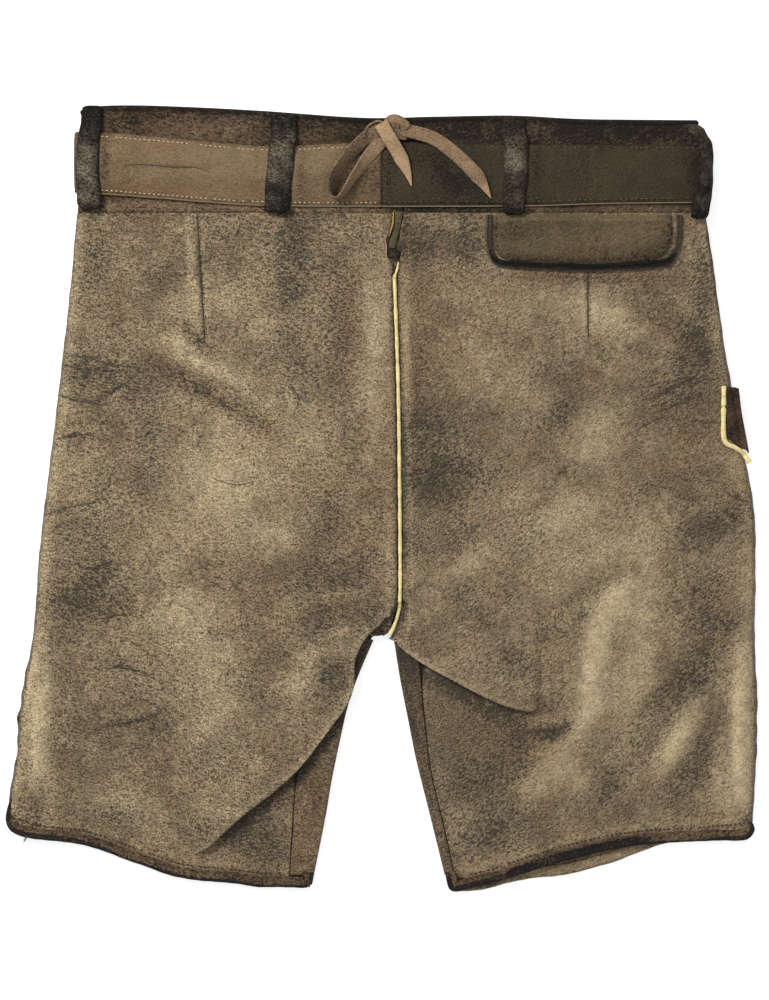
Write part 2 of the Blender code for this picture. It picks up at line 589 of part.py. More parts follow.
def build_lace():
    """The flat lace at the waist: a knot, a bow loop and two free ends."""
    suede = material("lace_suede", (0.34, 0.23, 0.14), 0.85)
    # points along each lace, how many of them the knot hides at its start and end, and its tip's points
    laces = {
        "lace_long": {"route": LACE_LONG, "count": 18, "start": 1, "end": 0, "tip": 5},
        "lace_short": {"route": LACE_SHORT, "count": 12, "start": 0, "end": 0, "tip": 5},
        "lace_bow": {"route": LACE_BOW, "count": 26, "start": 1, "end": 1, "tip": 0},
    }
    section = strap_profile(LACE_WIDTH, -LACE_THICK / 2, LACE_THICK / 2, 0.35)
    for name, lace in laces.items():
        points = smooth_line(lace["route"], lace["count"])[lace["start"]:lace["count"] - lace["end"]]
        side = np.column_stack([across(points), np.zeros(len(points))])
        up = np.tile([0.0, 0.0, 1.0], (len(points), 1))
        widths = np.ones(len(points))
        if lace["tip"]:
            widths[-lace["tip"]:] = np.linspace(1.0, 0.15, lace["tip"])
        sweep(name, points, side, up, section, suede, widths)
    cross_bar("lace_knot", KNOT, 10, suede)


def main():
    for item in list(bpy.data.objects):
        bpy.data.objects.remove(item, do_unlink=True)
    build_panels()
    build_waist()
    build_loops()
    build_pocket()
    build_knife_pocket()
    build_trims()
    build_front_flap()
    build_lace()


main()
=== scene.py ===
# Short leather lederhosen laid flat with the back up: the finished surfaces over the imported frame.
# Tables are in millimetres: x to the right, y towards the waist, z up from the surface it lies on.
import math

import bpy
import numpy as np
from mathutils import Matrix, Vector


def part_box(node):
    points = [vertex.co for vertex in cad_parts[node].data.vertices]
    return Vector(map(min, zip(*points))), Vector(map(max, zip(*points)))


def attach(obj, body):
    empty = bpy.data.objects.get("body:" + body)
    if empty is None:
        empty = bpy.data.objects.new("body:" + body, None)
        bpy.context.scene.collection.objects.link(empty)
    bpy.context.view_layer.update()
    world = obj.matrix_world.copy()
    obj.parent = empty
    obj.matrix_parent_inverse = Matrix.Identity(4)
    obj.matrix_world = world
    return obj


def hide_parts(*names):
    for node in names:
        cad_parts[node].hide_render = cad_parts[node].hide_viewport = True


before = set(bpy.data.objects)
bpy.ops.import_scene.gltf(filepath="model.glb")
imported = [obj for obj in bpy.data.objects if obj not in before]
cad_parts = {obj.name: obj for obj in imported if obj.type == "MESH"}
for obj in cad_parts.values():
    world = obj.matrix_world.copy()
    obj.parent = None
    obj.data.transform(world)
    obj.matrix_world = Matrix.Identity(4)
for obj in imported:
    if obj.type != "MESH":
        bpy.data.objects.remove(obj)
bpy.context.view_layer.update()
print("frame loaded:", len(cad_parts), "nodes")

# The buckle's middle in the tables and in the frame gives the shift between the two
buckleTable = {"x": 0.0, "y": 231.25}
buckleLow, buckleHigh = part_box("belt_buckle")
frameShift = np.array([
    (buckleLow.x + buckleHigh.x) / 2 - buckleTable["x"] * 0.001,
    (buckleLow.y + buckleHigh.y) / 2 - buckleTable["y"] * 0.001,
    0.0,
])

leather = {"thick": 1.6, "gap": 0.3}
beltStack = {"beltThick": 2.6, "bandHigh": 6.6, "bandMiddle": 4.75, "bandRadius": 1.85}
lyingHigh = 4.4


def place(points):
    # millimetres in the tables to metres in the frame: p / 1000 + shift
    return np.asarray(points, float) * 0.001 + frameShift


def spot(x, y, z=0.0):
    return tuple(place([x, y, z]).tolist())


# Camera, straight above, and the stage

view = {"middleX": 2.5, "middleY": -2.9, "away": 2.4, "tall": 720.0}
cameraData = bpy.data.cameras.new("camera")
cameraData.sensor_fit = "AUTO"
cameraData.sensor_width = 36.0
cameraData.lens = 36.0 * view["away"] / (view["tall"] * 0.001)
camera = bpy.data.objects.new("camera", cameraData)
camera.location = spot(view["middleX"], view["middleY"], view["away"] * 1000 + 6)
bpy.context.scene.collection.objects.link(camera)
bpy.context.scene.camera = camera


# Lines and grids

def smoothLine(points, count, power=1.0):
    # Catmull-Rom through the points, cut into steps that are even along its length (power 1)
    given = np.asarray(points, float)
    ends = np.vstack([2 * given[0] - given[1], given, 2 * given[-1] - given[-2]])
    t = np.linspace(0, 1, 14, endpoint=False)[:, None]
    runs = []
    for before, start, end, after in zip(ends, ends[1:], ends[2:], ends[3:]):
        square = 2 * before - 5 * start + 4 * end - after
        cube = 3 * start - before - 3 * end + after
        runs.append(0.5 * (2 * start + (end - before) * t + square * t**2 + cube * t**3))
    fine = np.vstack(runs + [given[-1:]])
    length = np.concatenate([[0], np.cumsum(np.linalg.norm(np.diff(fine, axis=0), axis=1))])
    even = length[-1] * np.linspace(0, 1, count) ** power
    return np.column_stack([np.interp(even, length, column) for column in fine.T])


def joined(*lines):
    return np.vstack([lines[0]] + [line[1:] for line in lines[1:]])


def across(line):
    # unit vectors to the left of the line, in plan
    along = np.gradient(line[:, :2], axis=0)
    along = along / np.maximum(np.linalg.norm(along, axis=1), 1e-9)[:, None]
    return np.column_stack([-along[:, 1], along[:, 0]])


def beside(line, x, y):
    # signed distance from the line (left is positive) and the share of the line passed, 0 to 1
    distance = np.full(np.shape(x), 1e9)
    signed = np.zeros(np.shape(x))
    share = np.zeros(np.shape(x))
    for i, (a, b) in enumerate(zip(line, line[1:])):
        step = b - a
        along = np.clip(((x - a[0]) * step[0] + (y - a[1]) * step[1]) / (step @ step), 0, 1)
        dx = x - a[0] - along * step[0]
        dy = y - a[1] - along * step[1]
        away = np.hypot(dx, dy)
        nearer = away < distance
        distance = np.where(nearer, away, distance)
        signed = np.where(nearer, np.where(step[0] * dy - step[1] * dx >= 0, away, -away), signed)
        share = np.where(nearer, (i + along) / (len(line) - 1), share)
    return signed, share


def ease(value):
    held = np.clip(value, 0, 1)
    return held * held * (3 - 2 * held)


def patch(outer, inner, top, foot):
    # Coons patch: the two blends of facing lines, less the blend of their corners
    v = np.linspace(0, 1, len(outer))[:, None, None]
    u = np.linspace(0, 1, len(top))[None, :, None]
    sides = (1 - u) * outer[:, None] + u * inner[:, None]
    ends = (1 - v) * top[None] + v * foot[None]
    corners = (1 - u) * ((1 - v) * outer[0] + v * outer[-1]) + u * ((1 - v) * inner[0] + v * inner[-1])
    return sides + ends - corners


def between(start, end, count):
    return np.linspace(start, end, count)


def quads(index, turned=False):
    corners = np.stack([index[:-1, :-1], index[1:, :-1], index[1:, 1:], index[:-1, 1:]], axis=-1)
    if turned:
        corners = corners[..., ::-1]
    return corners.reshape(-1, 4)


# The garment's outlines, folds and heights

sideLeft = [(-219, 203.9), (-225, 141), (-235, 55), (-245.5, -32), (-249.5, -85), (-250.5, -96),
            (-254, -118), (-260, -147), (-263.5, -190), (-268.5, -219), (-270.3, -231.6)]
sideRight = [(233.5, 203.9), (239, 170), (247, 112), (252, 83), (258, 48), (265.5, 11.5), (269.5, -17),
             (270, -60), (269.5, -104), (271.2, -147), (270.5, -190), (269, -237)]
seamCentre = [(11, 167), (10.2, 148), (12.6, 69), (13.8, -46), (13.2, -78), (10.4, -91), (6, -101)]
notchLeft = [(8.3, 203.9), (7.4, 192), (3.6, 184), (4.4, 173), (9.1, 167)]
notchRight = [(16.6, 203.9), (13.4, 187), (15, 178), (12.9, 167)]
foldLeft = [(2, -87), (-13, -101), (-21, -118), (-23.5, -143), (-42.5, -171), (-60.5, -194),
            (-78.5, -211), (-98, -226), (-117, -243), (-137, -262)]
foldRight = [(9.4, -103), (26, -116), (48, -129), (81, -146), (101.5, -152.6), (116, -154)]
inseamLeft = [(-60.5, -194), (-62, -212), (-63.5, -232), (-66, -273.2)]
inseamRight = [(28, -120), (30, -145), (35.7, -196), (45.4, -238), (53, -273.2)]
innerLeft = [(-5.5, -104), (-17.3, -132), (-24, -152), (-29.5, -176), (-35.3, -204), (-40.3, -233),
             (-48.3, -273.2)]
innerRight = [(9.4, -105), (13.7, -132), (19.4, -161), (25.2, -190), (32.4, -219), (39.6, -248),
              (45.8, -273.2)]
tuckLeft = [(-12, -101), (-20, -115), (-28, -138), (-45, -171), (-59.5, -192.5)]
tuckRight = [(16, -104), (22.5, -109), (27, -117.5)]
hemLeft = [(-269, -241), (-242, -248), (-213, -252), (-184, -262), (-159, -271), (-141, -276),
           (-105, -279.5), (-87, -282), (-66, -282), (-51, -281.7)]
hemRight = [(268, -245), (235, -248.6), (200, -250.6), (172, -253.5), (143, -260), (114.5, -268),
            (89, -276.5), (64, -283), (47.5, -281.5)]
hemFrontRight = [(266, -243.5), (235, -246.5), (204, -251), (183, -258.5), (165, -265), (147, -270),
                 (129, -274), (111, -275.5), (93, -279), (70, -284.6), (48.5, -283.5)]
hemBinding = 8.0
pipingWide = 3.0
frontMiddle = 2.0
frontFlap = {"halfWide": 86.0, "low": 58.0, "high": 203.0, "corner": 14.0, "margin": 26.0, "soft": 22.0}

# Overhanging folds: the high side of the line, rise, how far the lip leans out, reach of the rise
overhangs = [
    {"line": foldLeft, "high": -1, "rise": 6.0, "lean": 8.5, "half": 10.0, "reach": 34.0},
    {"line": foldRight, "high": 1, "rise": 4.8, "lean": 7.0, "half": 9.0, "reach": 36.0},
]

# Broad ridges (+) and troughs (-): line, height, half width
waves = [
    ([(-166, 97), (-130, 79), (-101, 63), (-68, 42)], -2.3, 8.0),
    ([(-156, 120), (-140, 99), (-115, 88), (-90, 84)], 1.7, 9.0),
    ([(-141, 126), (-135.5, 114), (-126, 107)], -2.0, 4.0),
    ([(-26, 175), (-28, 140), (-30, 100)], -1.1, 12.0),
    ([(-5, 150), (-3, 70), (-2, 0)], 0.9, 8.0),
    ([(-64, -54), (-36, -58), (-8, -52), (8, -44)], -1.5, 10.0),
    ([(-240.5, -104), (-241, -147), (-247, -190), (-252.7, -222)], 2.6, 7.0),
    ([(-228, -96), (-229, -155), (-234, -212)], -1.5, 10.0),
    ([(-150, -60), (-128, -110), (-118, -160), (-124, -205)], 2.6, 24.0),
    ([(-205, -20), (-190, -70), (-184, -130)], -1.2, 16.0),
    ([(-90, 96), (-60, 60), (-30, 0)], 2.0, 26.0),
    ([(-15, -95), (-38, -110), (-62, -132)], 1.5, 12.0),
    ([(-12, -78), (-44, -92), (-80, -118)], -1.6, 9.0),
    ([(149, 115), (157.7, 105), (172, 95)], -1.8, 6.0),
    ([(166, 156), (204.5, 130), (226, 112), (244, 92)], -2.2, 9.0),
    ([(160, 134), (186, 116), (214, 96)], 1.2, 12.0),
    ([(70, 30), (120, -30), (190, -70)], 2.0, 30.0),
    ([(178, -50), (150.5, -73), (129, -91), (106, -108)], -2.0, 11.0),
    ([(190, -54), (165, -82), (155.5, -111), (152.6, -134), (147.6, -158), (133, -186), (110, -208)],
     3.8, 11.5),
    ([(262, -100), (234, -124), (210, -146), (186.5, -179), (165, -201), (146, -214)], -2.5, 11.0),
    ([(234, -140), (217, -172), (192, -210)], 1.7, 9.0),
    ([(243, -150), (235, -179), (222.5, -201), (198, -225)], -2.0, 8.0),
    ([(259, -100), (259, -147), (258.5, -190), (255.6, -230)], 2.6, 7.0),
    ([(108, -170), (124, -173), (139, -165)], -2.0, 4.0),
    ([(104, -161), (120, -163), (134, -158)], 1.3, 5.0),
    ([(30, -86), (62, -76), (110, -58), (150, -30)], -1.3, 14.0),
]

waveRise = 1.25

# Narrow creases: line, depth, half width
creases = [
    ([(-230, 101), (-213, 100), (-195, 95), (-172, 92)], -0.7, 1.8),
    ([(-230, 94), (-208, 91), (-182, 90)], -0.55, 1.5),
    ([(-233, 73), (-213, 67.7), (-198.7, 72), (-176, 87)], -0.8, 1.9),
    ([(-234, 41), (-213, 44), (-198, 40)], -0.5, 1.6),
    ([(-243, -14), (-224, -8), (-202, -4)], -0.6, 1.7),
    ([(-196, -124), (-184, -124), (-173, -127), (-164, -132)], -0.9, 1.9),
    ([(-212, -172), (-197, -166), (-182, -163.5), (-166, -160), (-155, -150)], -1.0, 2.0),
    ([(-210, -53), (-197, -48), (-193, -45)], -0.6, 1.6),
    ([(-206, -89), (-195, -87), (-184, -85)], -0.7, 1.7),
    ([(-67, 84), (-59, 69), (-63, 60)], -0.6, 1.6),
    ([(222, 54), (233, 53.5), (243, 53)], -0.6, 1.3),
    ([(194, 69), (210, 78), (228, 87)], -0.55, 1.6),
    ([(198, 60), (214, 66), (232, 75)], -0.5, 1.5),
    ([(183, 47), (196, 54), (206, 58)], -0.5, 1.5),
    ([(240, -8), (252, -14), (262, -22)], -0.5, 1.6),
    ([(246, 4), (256, -2), (265, -4)], -0.45, 1.4),
    ([(-120, 12), (-104, 8), (-90, 11)], -0.35, 1.8),
]

# The two waist darts: line, depth of the seam, half width
darts = [
    ([(-132.5, 204), (-130, 160), (-127, 110)], -1.6, 1.5),
    ([(149, 166), (149, 140), (149, 114)], -1.3, 1.4),
]


def frontLift(x, y):
    # height of the front panels' outer face: over the flap, and up to the band at the waist
    beyondX = np.maximum(np.abs(x) - frontFlap["halfWide"], 0)
    beyondY = np.maximum(frontFlap["low"] - y, 0)
    overFlap = 1 - ease((np.hypot(beyondX, beyondY) - frontFlap["margin"]) / frontFlap["soft"])
    return np.maximum((leather["thick"] + leather["gap"]) * overFlap, 2.9 * ease((y - 150) / 45))


def lineHeight(line, x, y, rise, half, count=14):
    # a ridge of Gaussian section along the line, running out to nothing at its ends
    near = np.array(line, float)
    low = near.min(axis=0) - 3 * half
    high = near.max(axis=0) + 3 * half
    inside = (x > low[0]) & (x < high[0]) & (y > low[1]) & (y < high[1])
    height = np.zeros(np.shape(x))
    away, share = beside(smoothLine(line, count), x[inside], y[inside])
    taper = np.sin(np.pi * np.clip(share, 0.02, 0.98)) ** 0.7
    height[inside] = rise * np.exp(-((away / half) ** 2)) * taper
    return height


def lyingTop(x, y, fine=True):
    # top of the uppermost layer, before its overhanging folds are laid over
    high = lyingHigh + frontLift(x, y) * (beltStack["bandHigh"] - lyingHigh) / 2.9
    for side in (sideLeft, sideRight):
        inside = np.abs(beside(np.array(side, float), x, y)[0])
        roll = inside / 9 * np.exp(1 - inside / 9)
        high = high + 3.2 * roll * ease((150 - y) / 60)
    for line, rise, half in waves:
        high = high + lineHeight(line, x, y, rise * waveRise, half)
    if fine:
        for line, rise, half in creases:
            high = high + lineHeight(line, x, y, rise, half)
        for line, rise, half in darts:
            high = high + lineHeight(line, x, y, rise, half)
            high = high + lineHeight(line, x, y, 0.8, 6.0)
        high = high + 0.22 * np.sin(x / 9.1 + 1.3 * np.sin(y / 17)) * np.sin(y / 11.3 + 1.7 * np.sin(x / 23))
        high = high + 0.35 * np.sin(x / 31 + y / 47 + 1.1) * np.sin(y / 37 - x / 61)
    return np.maximum(high, frontLift(x, y) + 2 * leather["thick"] + 0.5)


def foldLine(fold):
    return smoothLine(fold["line"], 60)


def foldStrength(share):
    # full along the fold, running out at its end and a little weaker at its root
    return ease((1 - share) / 0.07) * ease(0.65 + share / 0.1)


def foldStand(fold, q):
    # height of the high side at distance q from the line, as a share of the fold's rise
    return ease(q / (0.9 * fold["half"]) + 0.5) * np.exp(-((np.maximum(q - 4, 0) / fold["reach"]) ** 2))


def layOver(x, y, z):
    # the overhangs: at distance q on the high side a point moves out by
    # lean * sin(pi q / half) * (1 + cos(pi q / half)) / 2 and up by rise
    for fold in overhangs:
        line = foldLine(fold)
        away, share = beside(line, x, y)
        q = away * fold["high"]
        strength = foldStrength(share)
        normal = across(line) * fold["high"]
        position = share * (len(line) - 1)
        nx = np.interp(position, np.arange(len(line)), normal[:, 0])
        ny = np.interp(position, np.arange(len(line)), normal[:, 1])
        turn = np.pi * np.clip(q / fold["half"], -1, 1)
        out = fold["lean"] * strength * np.sin(turn) * (1 + np.cos(turn)) / 2
        x = x - nx * out
        y = y - ny * out
        z = z + fold["rise"] * strength * foldStand(fold, q)
    return x, y, z


def backTop(x, y, fine=True):
    # height of the back panels where no overhang hides them
    high = lyingTop(x, y, fine)
    for fold in overhangs:
        away, share = beside(foldLine(fold), x, y)
        high = high + fold["rise"] * foldStrength(share) * foldStand(fold, away * fold["high"])
    return high


# Where the leather is darkened, rubbed pale or browned: stains and rubbed wear, with painted shade in troughs
# and valleys, at the crotch, beside the notch's tongue and under the pocket, and painted highlights on ridges
# and along the legs'
# rolled side edges. Columns: x, y, long, short, angle, strength

darkSpotsAndShade = [
    (-64, 170, 36, 17, 88, 0.9), (-66, 190, 14, 12, 0, 0.5), (-64, 146, 14, 14, 0, 0.5),
    (-66, 102, 26, 14, 90, 0.55), (-56, 92, 16, 10, 80, 0.45), (-40, -18, 30, 12, 85, 0.5),
    (-168, 48, 40, 13, 88, 0.6), (-174, 2, 12, 10, 0, 0.5), (-206, 88, 34, 15, -2, 0.85),
    (-206, 163, 34, 13, 88, 0.6), (-206, 182, 16, 14, 0, 0.4), (-156, 152, 18, 10, -15, 0.45),
    (-221, 40, 18, 8, 5, 0.55), (-212, -66, 26, 19, 10, 0.7), (-232, -30, 26, 9, 88, 0.4),
    (-118, -99, 11, 6, 0, 0.75), (-30, -55, 24, 13, 10, 0.55), (-4, -88, 16, 12, 0, 0.8),
    (-45, -94, 15, 17, 0, 0.45), (-91, -136, 14, 14, 0, 0.5), (-160, -168, 12, 9, 0, 0.5),
    (-122, -189, 26, 20, 30, 0.45), (-191, -230, 18, 9, 0, 0.6), (-252, -228, 12, 14, 0, 0.65),
    (-80, -250, 12, 17, -30, 0.6), (-116, -240, 44, 12, -25, 0.35), (-150, -130, 30, 20, 0, 0.3),
    (46, 17, 25, 33, 0, 1.0), (32, 46, 18, 14, 0, 0.75), (85, 12, 16, 14, 30, 0.65),
    (62, -26, 20, 9, 25, 0.6), (125, 53, 24, 11, 30, 0.7), (131, 65, 9, 6, 30, 0.5),
    (214, 78, 36, 21, 15, 0.65), (228, 100, 22, 12, 0, 0.5), (114, 88, 14, 8, 20, 0.4),
    (130, 17, 11, 5, 35, 0.6), (196, 6, 20, 8, 20, 0.45), (258, -10, 20, 11, 80, 0.7),
    (63, 184, 13, 26, 0, 0.95), (34, 182, 20, 12, 0, 0.5), (150, 157, 60, 5, 0, 0.5),
    (26, 78, 50, 9, 88, 0.5), (237, -24, 16, 11, 0, 0.65), (58, -69, 13, 9, 40, 0.55),
    (74, -91, 9, 9, 0, 0.6), (122, -101, 12, 8, 0, 0.35), (228, -68, 26, 13, 15, 0.55),
    (251, -92, 11, 9, 0, 0.65), (71, -203, 30, 18, 25, 0.6), (162, -212, 18, 9, 40, 0.5),
    (28, -190, 12, 90, 8, 0.6), (92, -236, 30, 14, 20, 0.5), (263, -236, 9, 10, 0, 0.7),
    (214, -25, 30, 10, 20, 0.4), (95, -20, 26, 12, 25, 0.4), (-15, 186, 22, 10, 0, 0.4),
    (-100, 190, 30, 9, 0, 0.35), (-121, 70, 50, 6, -30, 0.6), (-134, 116, 12, 3.5, -48, 0.7),
    (229, 30, 14, 120, 0, 0.2), (100, -168, 40, 16, -15, 0.45), (230, -205, 14, 34, 0, 0.25),
    (62, -190, 34, 60, 12, 0.35), (206, -140, 40, 9, 40, 0.35), (-185, -160, 40, 14, 10, 0.2),
    (-60, -70, 24, 16, 0, 0.3), (60, 60, 20, 14, 0, 0.35), (-37, -128, 13, 12, 0, 0.85),
    (18, -145, 9, 46, 10, 0.8), (44, 14, 26, 18, 0, 0.9), (30, 52, 12, 16, 0, 0.7),
    (27, 179, 15, 19, -15, 0.85), (17, 187, 4.5, 15, 0, 1.0), (24, 180, 14, 6, -15, 0.6),
    (-88, -232, 14, 16, -30, 0.5), (127, -166, 9, 5, 20, 0.8), (-33, 112, 92, 12, 89, 0.5),
    (-224, -77, 31, 13, -6, 0.8), (-206, -12, 46, 15, 82, 0.5), (25, -34, 16, 16, 0, 0.65),
    (106, -31, 27, 10, 28, 0.55), (233, 145, 58, 11, 85, 0.8), (-197, -123, 22, 10, -8, 0.4),
    (97, -121, 22, 12, -18, 0.65), (233, -95, 33, 12, 83, 0.7), (99, -183, 40, 15, 80, 0.6),
    (-104, -247, 34, 10, -14, 0.65), (72, -249, 34, 11, 12, 0.65),
]
paleSpotsAndHighlights = [
    (-113, 15, 36, 34, 0, 0.75), (-143, 111, 9, 9, 20, 0.6), (-137, 150, 46, 3, -87, 0.5),
    (-204, -8, 18, 12, 0, 0.4), (-146, -28, 30, 20, 0, 0.45), (-90, 122, 18, 14, 0, 0.35),
    (-4, 120, 10, 60, 0, 0.5), (-246, -168, 7, 52, 6, 0.95), (-146, -90, 30, 22, 0, 0.4),
    (-61, -135, 14, 10, 0, 0.4), (-122, -230, 16, 12, 0, 0.5), (-222, 190, 8, 14, 0, 0.4),
    (79, 92, 28, 20, 0, 0.3), (160, 131, 17, 14, 0, 0.55), (152, 34, 20, 9, 20, 0.45),
    (187, -32, 24, 12, 25, 0.6), (124, -19, 34, 9, 30, 0.5), (155, -124, 9, 34, -8, 0.8),
    (113, -205, 12, 24, -40, 0.65), (258, -174, 6, 52, 0, 0.95), (214, -178, 9, 24, -20, 0.55),
    (171, -76, 16, 12, 0, 0.5), (60, -50, 26, 8, 35, 0.45), (40, -80, 20, 9, 20, 0.4),
    (-180, -222, 34, 12, -15, 0.35), (-215, 20, 16, 22, 0, 0.35), (245, -210, 9, 18, 0, 0.5),
    (19, 100, 3, 44, 0, 0.5), (185, -114, 56, 15, 80, 0.65), (138, -202, 20, 12, -40, 0.6),
    (139, 137, 24, 13, -10, 0.6), (147, 50, 24, 12, 20, 0.5), (-77, -29, 21, 14, 10, 0.6),
    (-124, 139, 34, 13, 4, 0.4), (-111, 58, 18, 13, -25, 0.4), (-233, -139, 34, 9, 86, 0.4),
]
brownSpotsAndShade = [
    (-26, 139, 30, 10, 90, 0.6), (-121, 72, 48, 7, -30, 0.6), (-80, 40, 26, 18, 0, 0.4),
    (26, 160, 12, 30, 10, 0.5), (-145, -26, 30, 14, 0, 0.5), (55, 118, 44, 26, 0, 0.4),
    (2, 30, 12, 60, 0, 0.5), (95, -165, 40, 20, -15, 0.6), (120, -190, 20, 26, 0, 0.5),
    (130, 40, 40, 16, 20, 0.25), (224, 38, 16, 18, 0, 0.5), (-30, -20, 16, 60, 0, 0.3),
    (-110, -240, 30, 12, -30, 0.5), (-50, -235, 16, 40, 0, 0.45), (-200, -254, 60, 8, -12, 0.5),
    (150, 158, 58, 6, 0, 0.8), (260, 20, 10, 20, 0, 0.4), (205, 120, 24, 9, -40, 0.4),
    (27, 100, 9, 52, 0, 0.7),
]


def spotMask(spots, x, y):
    # each spot, of stain and wear as of painted shade and highlight, is an oval bell; together they cover as
    # 1 - product(1 - strength)
    bare = np.ones(np.shape(x))
    for cx, cy, long, short, angle, strength in spots:
        a = math.radians(angle)
        u = ((x - cx) * math.cos(a) + (y - cy) * math.sin(a)) / long
        v = ((y - cy) * math.cos(a) - (x - cx) * math.sin(a)) / short
        bare = bare * (1 - strength * np.exp(-(u * u + v * v)))
    return 1 - bare


print("tables ready")


# Meshes

def addMesh(name, points, faces, materials):
    name = name + "_made"
    mesh = bpy.data.meshes.new(name)
    mesh.from_pydata(place(points).tolist(), [], [list(face) for face in faces])
    for finish in materials:
        mesh.materials.append(finish)
    mesh.update()
    mesh.shade_smooth()
    made = bpy.data.objects.new(name, mesh)
    bpy.context.scene.collection.objects.link(made)
    return made


def paint(made, dark, pale, brown):
    # the three masks, dark, pale and brown, as one colour attribute on the points: stains and wear, with
    # painted shade in the dark and brown masks and painted highlights in the pale one
    layer = made.data.color_attributes.new("wear", "FLOAT_COLOR", "POINT")
    colours = np.ones((len(made.data.vertices), 4))
    colours[:, 0] = np.ravel(dark)
    colours[:, 1] = np.ravel(pale)
    colours[:, 2] = np.ravel(brown)
    layer.data.foreach_set("color", colours.ravel())
    return made


def addSheet(name, points, faces, materials, wear, thick=None, side=-1):
    made = addMesh(name, points, faces, materials)
    paint(made, *wear)
    wall = made.modifiers.new("wall", "SOLIDIFY")
    wall.thickness = (thick or leather["thick"]) * 0.001
    wall.offset = side
    wall.use_quality_normals = True
    if len(materials) > 1:
        wall.material_offset_rim = 1
    return made


def addGrid(name, x, y, z, turned, materials, wear, thick=None):
    # a sheet whose points lie in rows and columns
    index = np.arange(x.size).reshape(x.shape)
    points = np.dstack([x, y, z]).reshape(-1, 3)
    return addSheet(name, points, quads(index, turned), materials, wear, thick)


def ringFaces(rows, count):
    # faces of a tube: rows of rings with count points, capped at both ends
    index = np.arange(rows * count).reshape(rows, count)
    looped = np.column_stack([index, index[:, 0]])
    faces = [tuple(face) for face in quads(looped)]
    faces.append(tuple(index[0]))
    faces.append(tuple(index[-1][::-1]))
    return faces


def shifted(faces, start):
    return [tuple(int(corner) + start for corner in face) for face in faces]


def sectionRings(route, side, up, profile, grow):
    # the profile's (side, up) points set up at each point of the route; grow is a width and a height factor
    wide = side[:, None] * (profile[None, :, :1] * grow[:, None, :1])
    return route[:, None] + wide + up[:, None] * (profile[None, :, 1:] * grow[:, None, 1:])


def sweep(name, route, side, up, profile, materials, grow, wear=None):
    rings = sectionRings(route, side, up, profile, grow)
    made = addMesh(name, rings.reshape(-1, 3), ringFaces(len(route), len(profile)), materials)
    return paint(made, *(wear or [np.zeros(rings.shape[:2])] * 3))


def strapProfile(wide, thick, edge=0.5, steps=4, crown=0.0):
    # a flat section with quarter-round corners, clockwise; crown lifts the middle of its top
    half = wide / 2
    points = []
    spots = [(-half + edge, -thick / 2 + edge, 270, 180), (-half + edge, thick / 2 - edge, 180, 90),
             (half - edge, thick / 2 - edge, 90, 0), (half - edge, -thick / 2 + edge, 360, 270)]
    for cx, cy, start, end in spots:
        a = np.radians(np.linspace(start, end, steps))
        points.append(np.column_stack([cx + edge * np.cos(a), cy + edge * np.sin(a)]))
    top = np.linspace(-half + edge, half - edge, 5)[1:-1]
    top = np.column_stack([top, thick / 2 + crown * (1 - (top / half) ** 2)])
    return np.vstack([points[0], points[1], top, points[2], points[3]])


def ovalProfile(wide, high, count=12):
    a = np.radians(np.linspace(0, 360, count, endpoint=False))
    return np.column_stack([wide / 2 * np.cos(a), -high / 2 * np.sin(a)])


def upright(line, height):
    # a plan line put at a height, with its side and up vectors
    route = np.column_stack([line[:, :2], height])
    side = np.column_stack([across(line), np.zeros(len(line))])
    up = np.tile([0.0, 0.0, 1.0], (len(line), 1))
    return route, side, up


def finishPiece(made, slotName, *nodes):
    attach(made, "root")
    if nodes:
        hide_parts(*nodes)
    return made


# Materials

def srgb(red, green, blue):
    # a colour given as 0 to 255 on a screen, as the light it stands for
    values = []
    for value in (red, green, blue):
        share = value / 255
        values.append(share / 12.92 if share <= 0.04045 else ((share + 0.055) / 1.055) ** 2.4)
    return (*values, 1.0)


def addNode(tree, kind, links=None, **settings):
    made = tree.nodes.new(kind)
    for key, value in settings.items():
        setattr(made, key, value)
    for socket, value in (links or {}).items():
        if isinstance(value, bpy.types.NodeSocket):
            tree.links.new(value, made.inputs[socket])
        else:
            made.inputs[socket].default_value = value
    return made


def calc(tree, operation, a, b=0.0, clamp=False):
    return addNode(tree, "ShaderNodeMath", {0: a, 1: b}, operation=operation, use_clamp=clamp).outputs[0]


def rampBetween(tree, value, low, high, newLow=0.0, newHigh=1.0):
    links = {"Value": value, "From Min": low, "From Max": high, "To Min": newLow, "To Max": newHigh}
    made = addNode(tree, "ShaderNodeMapRange", links, interpolation_type="SMOOTHSTEP")
    return made.outputs["Result"]


def mixColour(tree, factor, a, b, blend="MIX"):
    made = addNode(tree, "ShaderNodeMix", data_type="RGBA", blend_type=blend, clamp_factor=True)
    for socket, value in ((0, factor), (6, a), (7, b)):
        if isinstance(value, bpy.types.NodeSocket):
            tree.links.new(value, made.inputs[socket])
        else:
            made.inputs[socket].default_value = value
    return made.outputs[2]


def inMillimetres(tree, where):
    scaled = addNode(tree, "ShaderNodeVectorMath", {0: where, 1: (1000, 1000, 1000)}, operation="MULTIPLY")
    return scaled.outputs[0]


def noise(tree, vector, scale, detail=3.0, rough=0.6, warp=0.0):
    links = {"Vector": vector, "Scale": scale, "Detail": detail, "Roughness": rough, "Distortion": warp}
    return addNode(tree, "ShaderNodeTexNoise", links).outputs[0]


def newGroup(name, inputs, outputs):
    tree = bpy.data.node_groups.new(name, "ShaderNodeTree")
    for label, kind, value in inputs:
        made = tree.interface.new_socket(label, in_out="INPUT", socket_type=kind)
        if value is not None:
            made.default_value = value
    for label, kind in outputs:
        tree.interface.new_socket(label, in_out="OUTPUT", socket_type=kind)
    return tree, addNode(tree, "NodeGroupInput"), addNode(tree, "NodeGroupOutput")


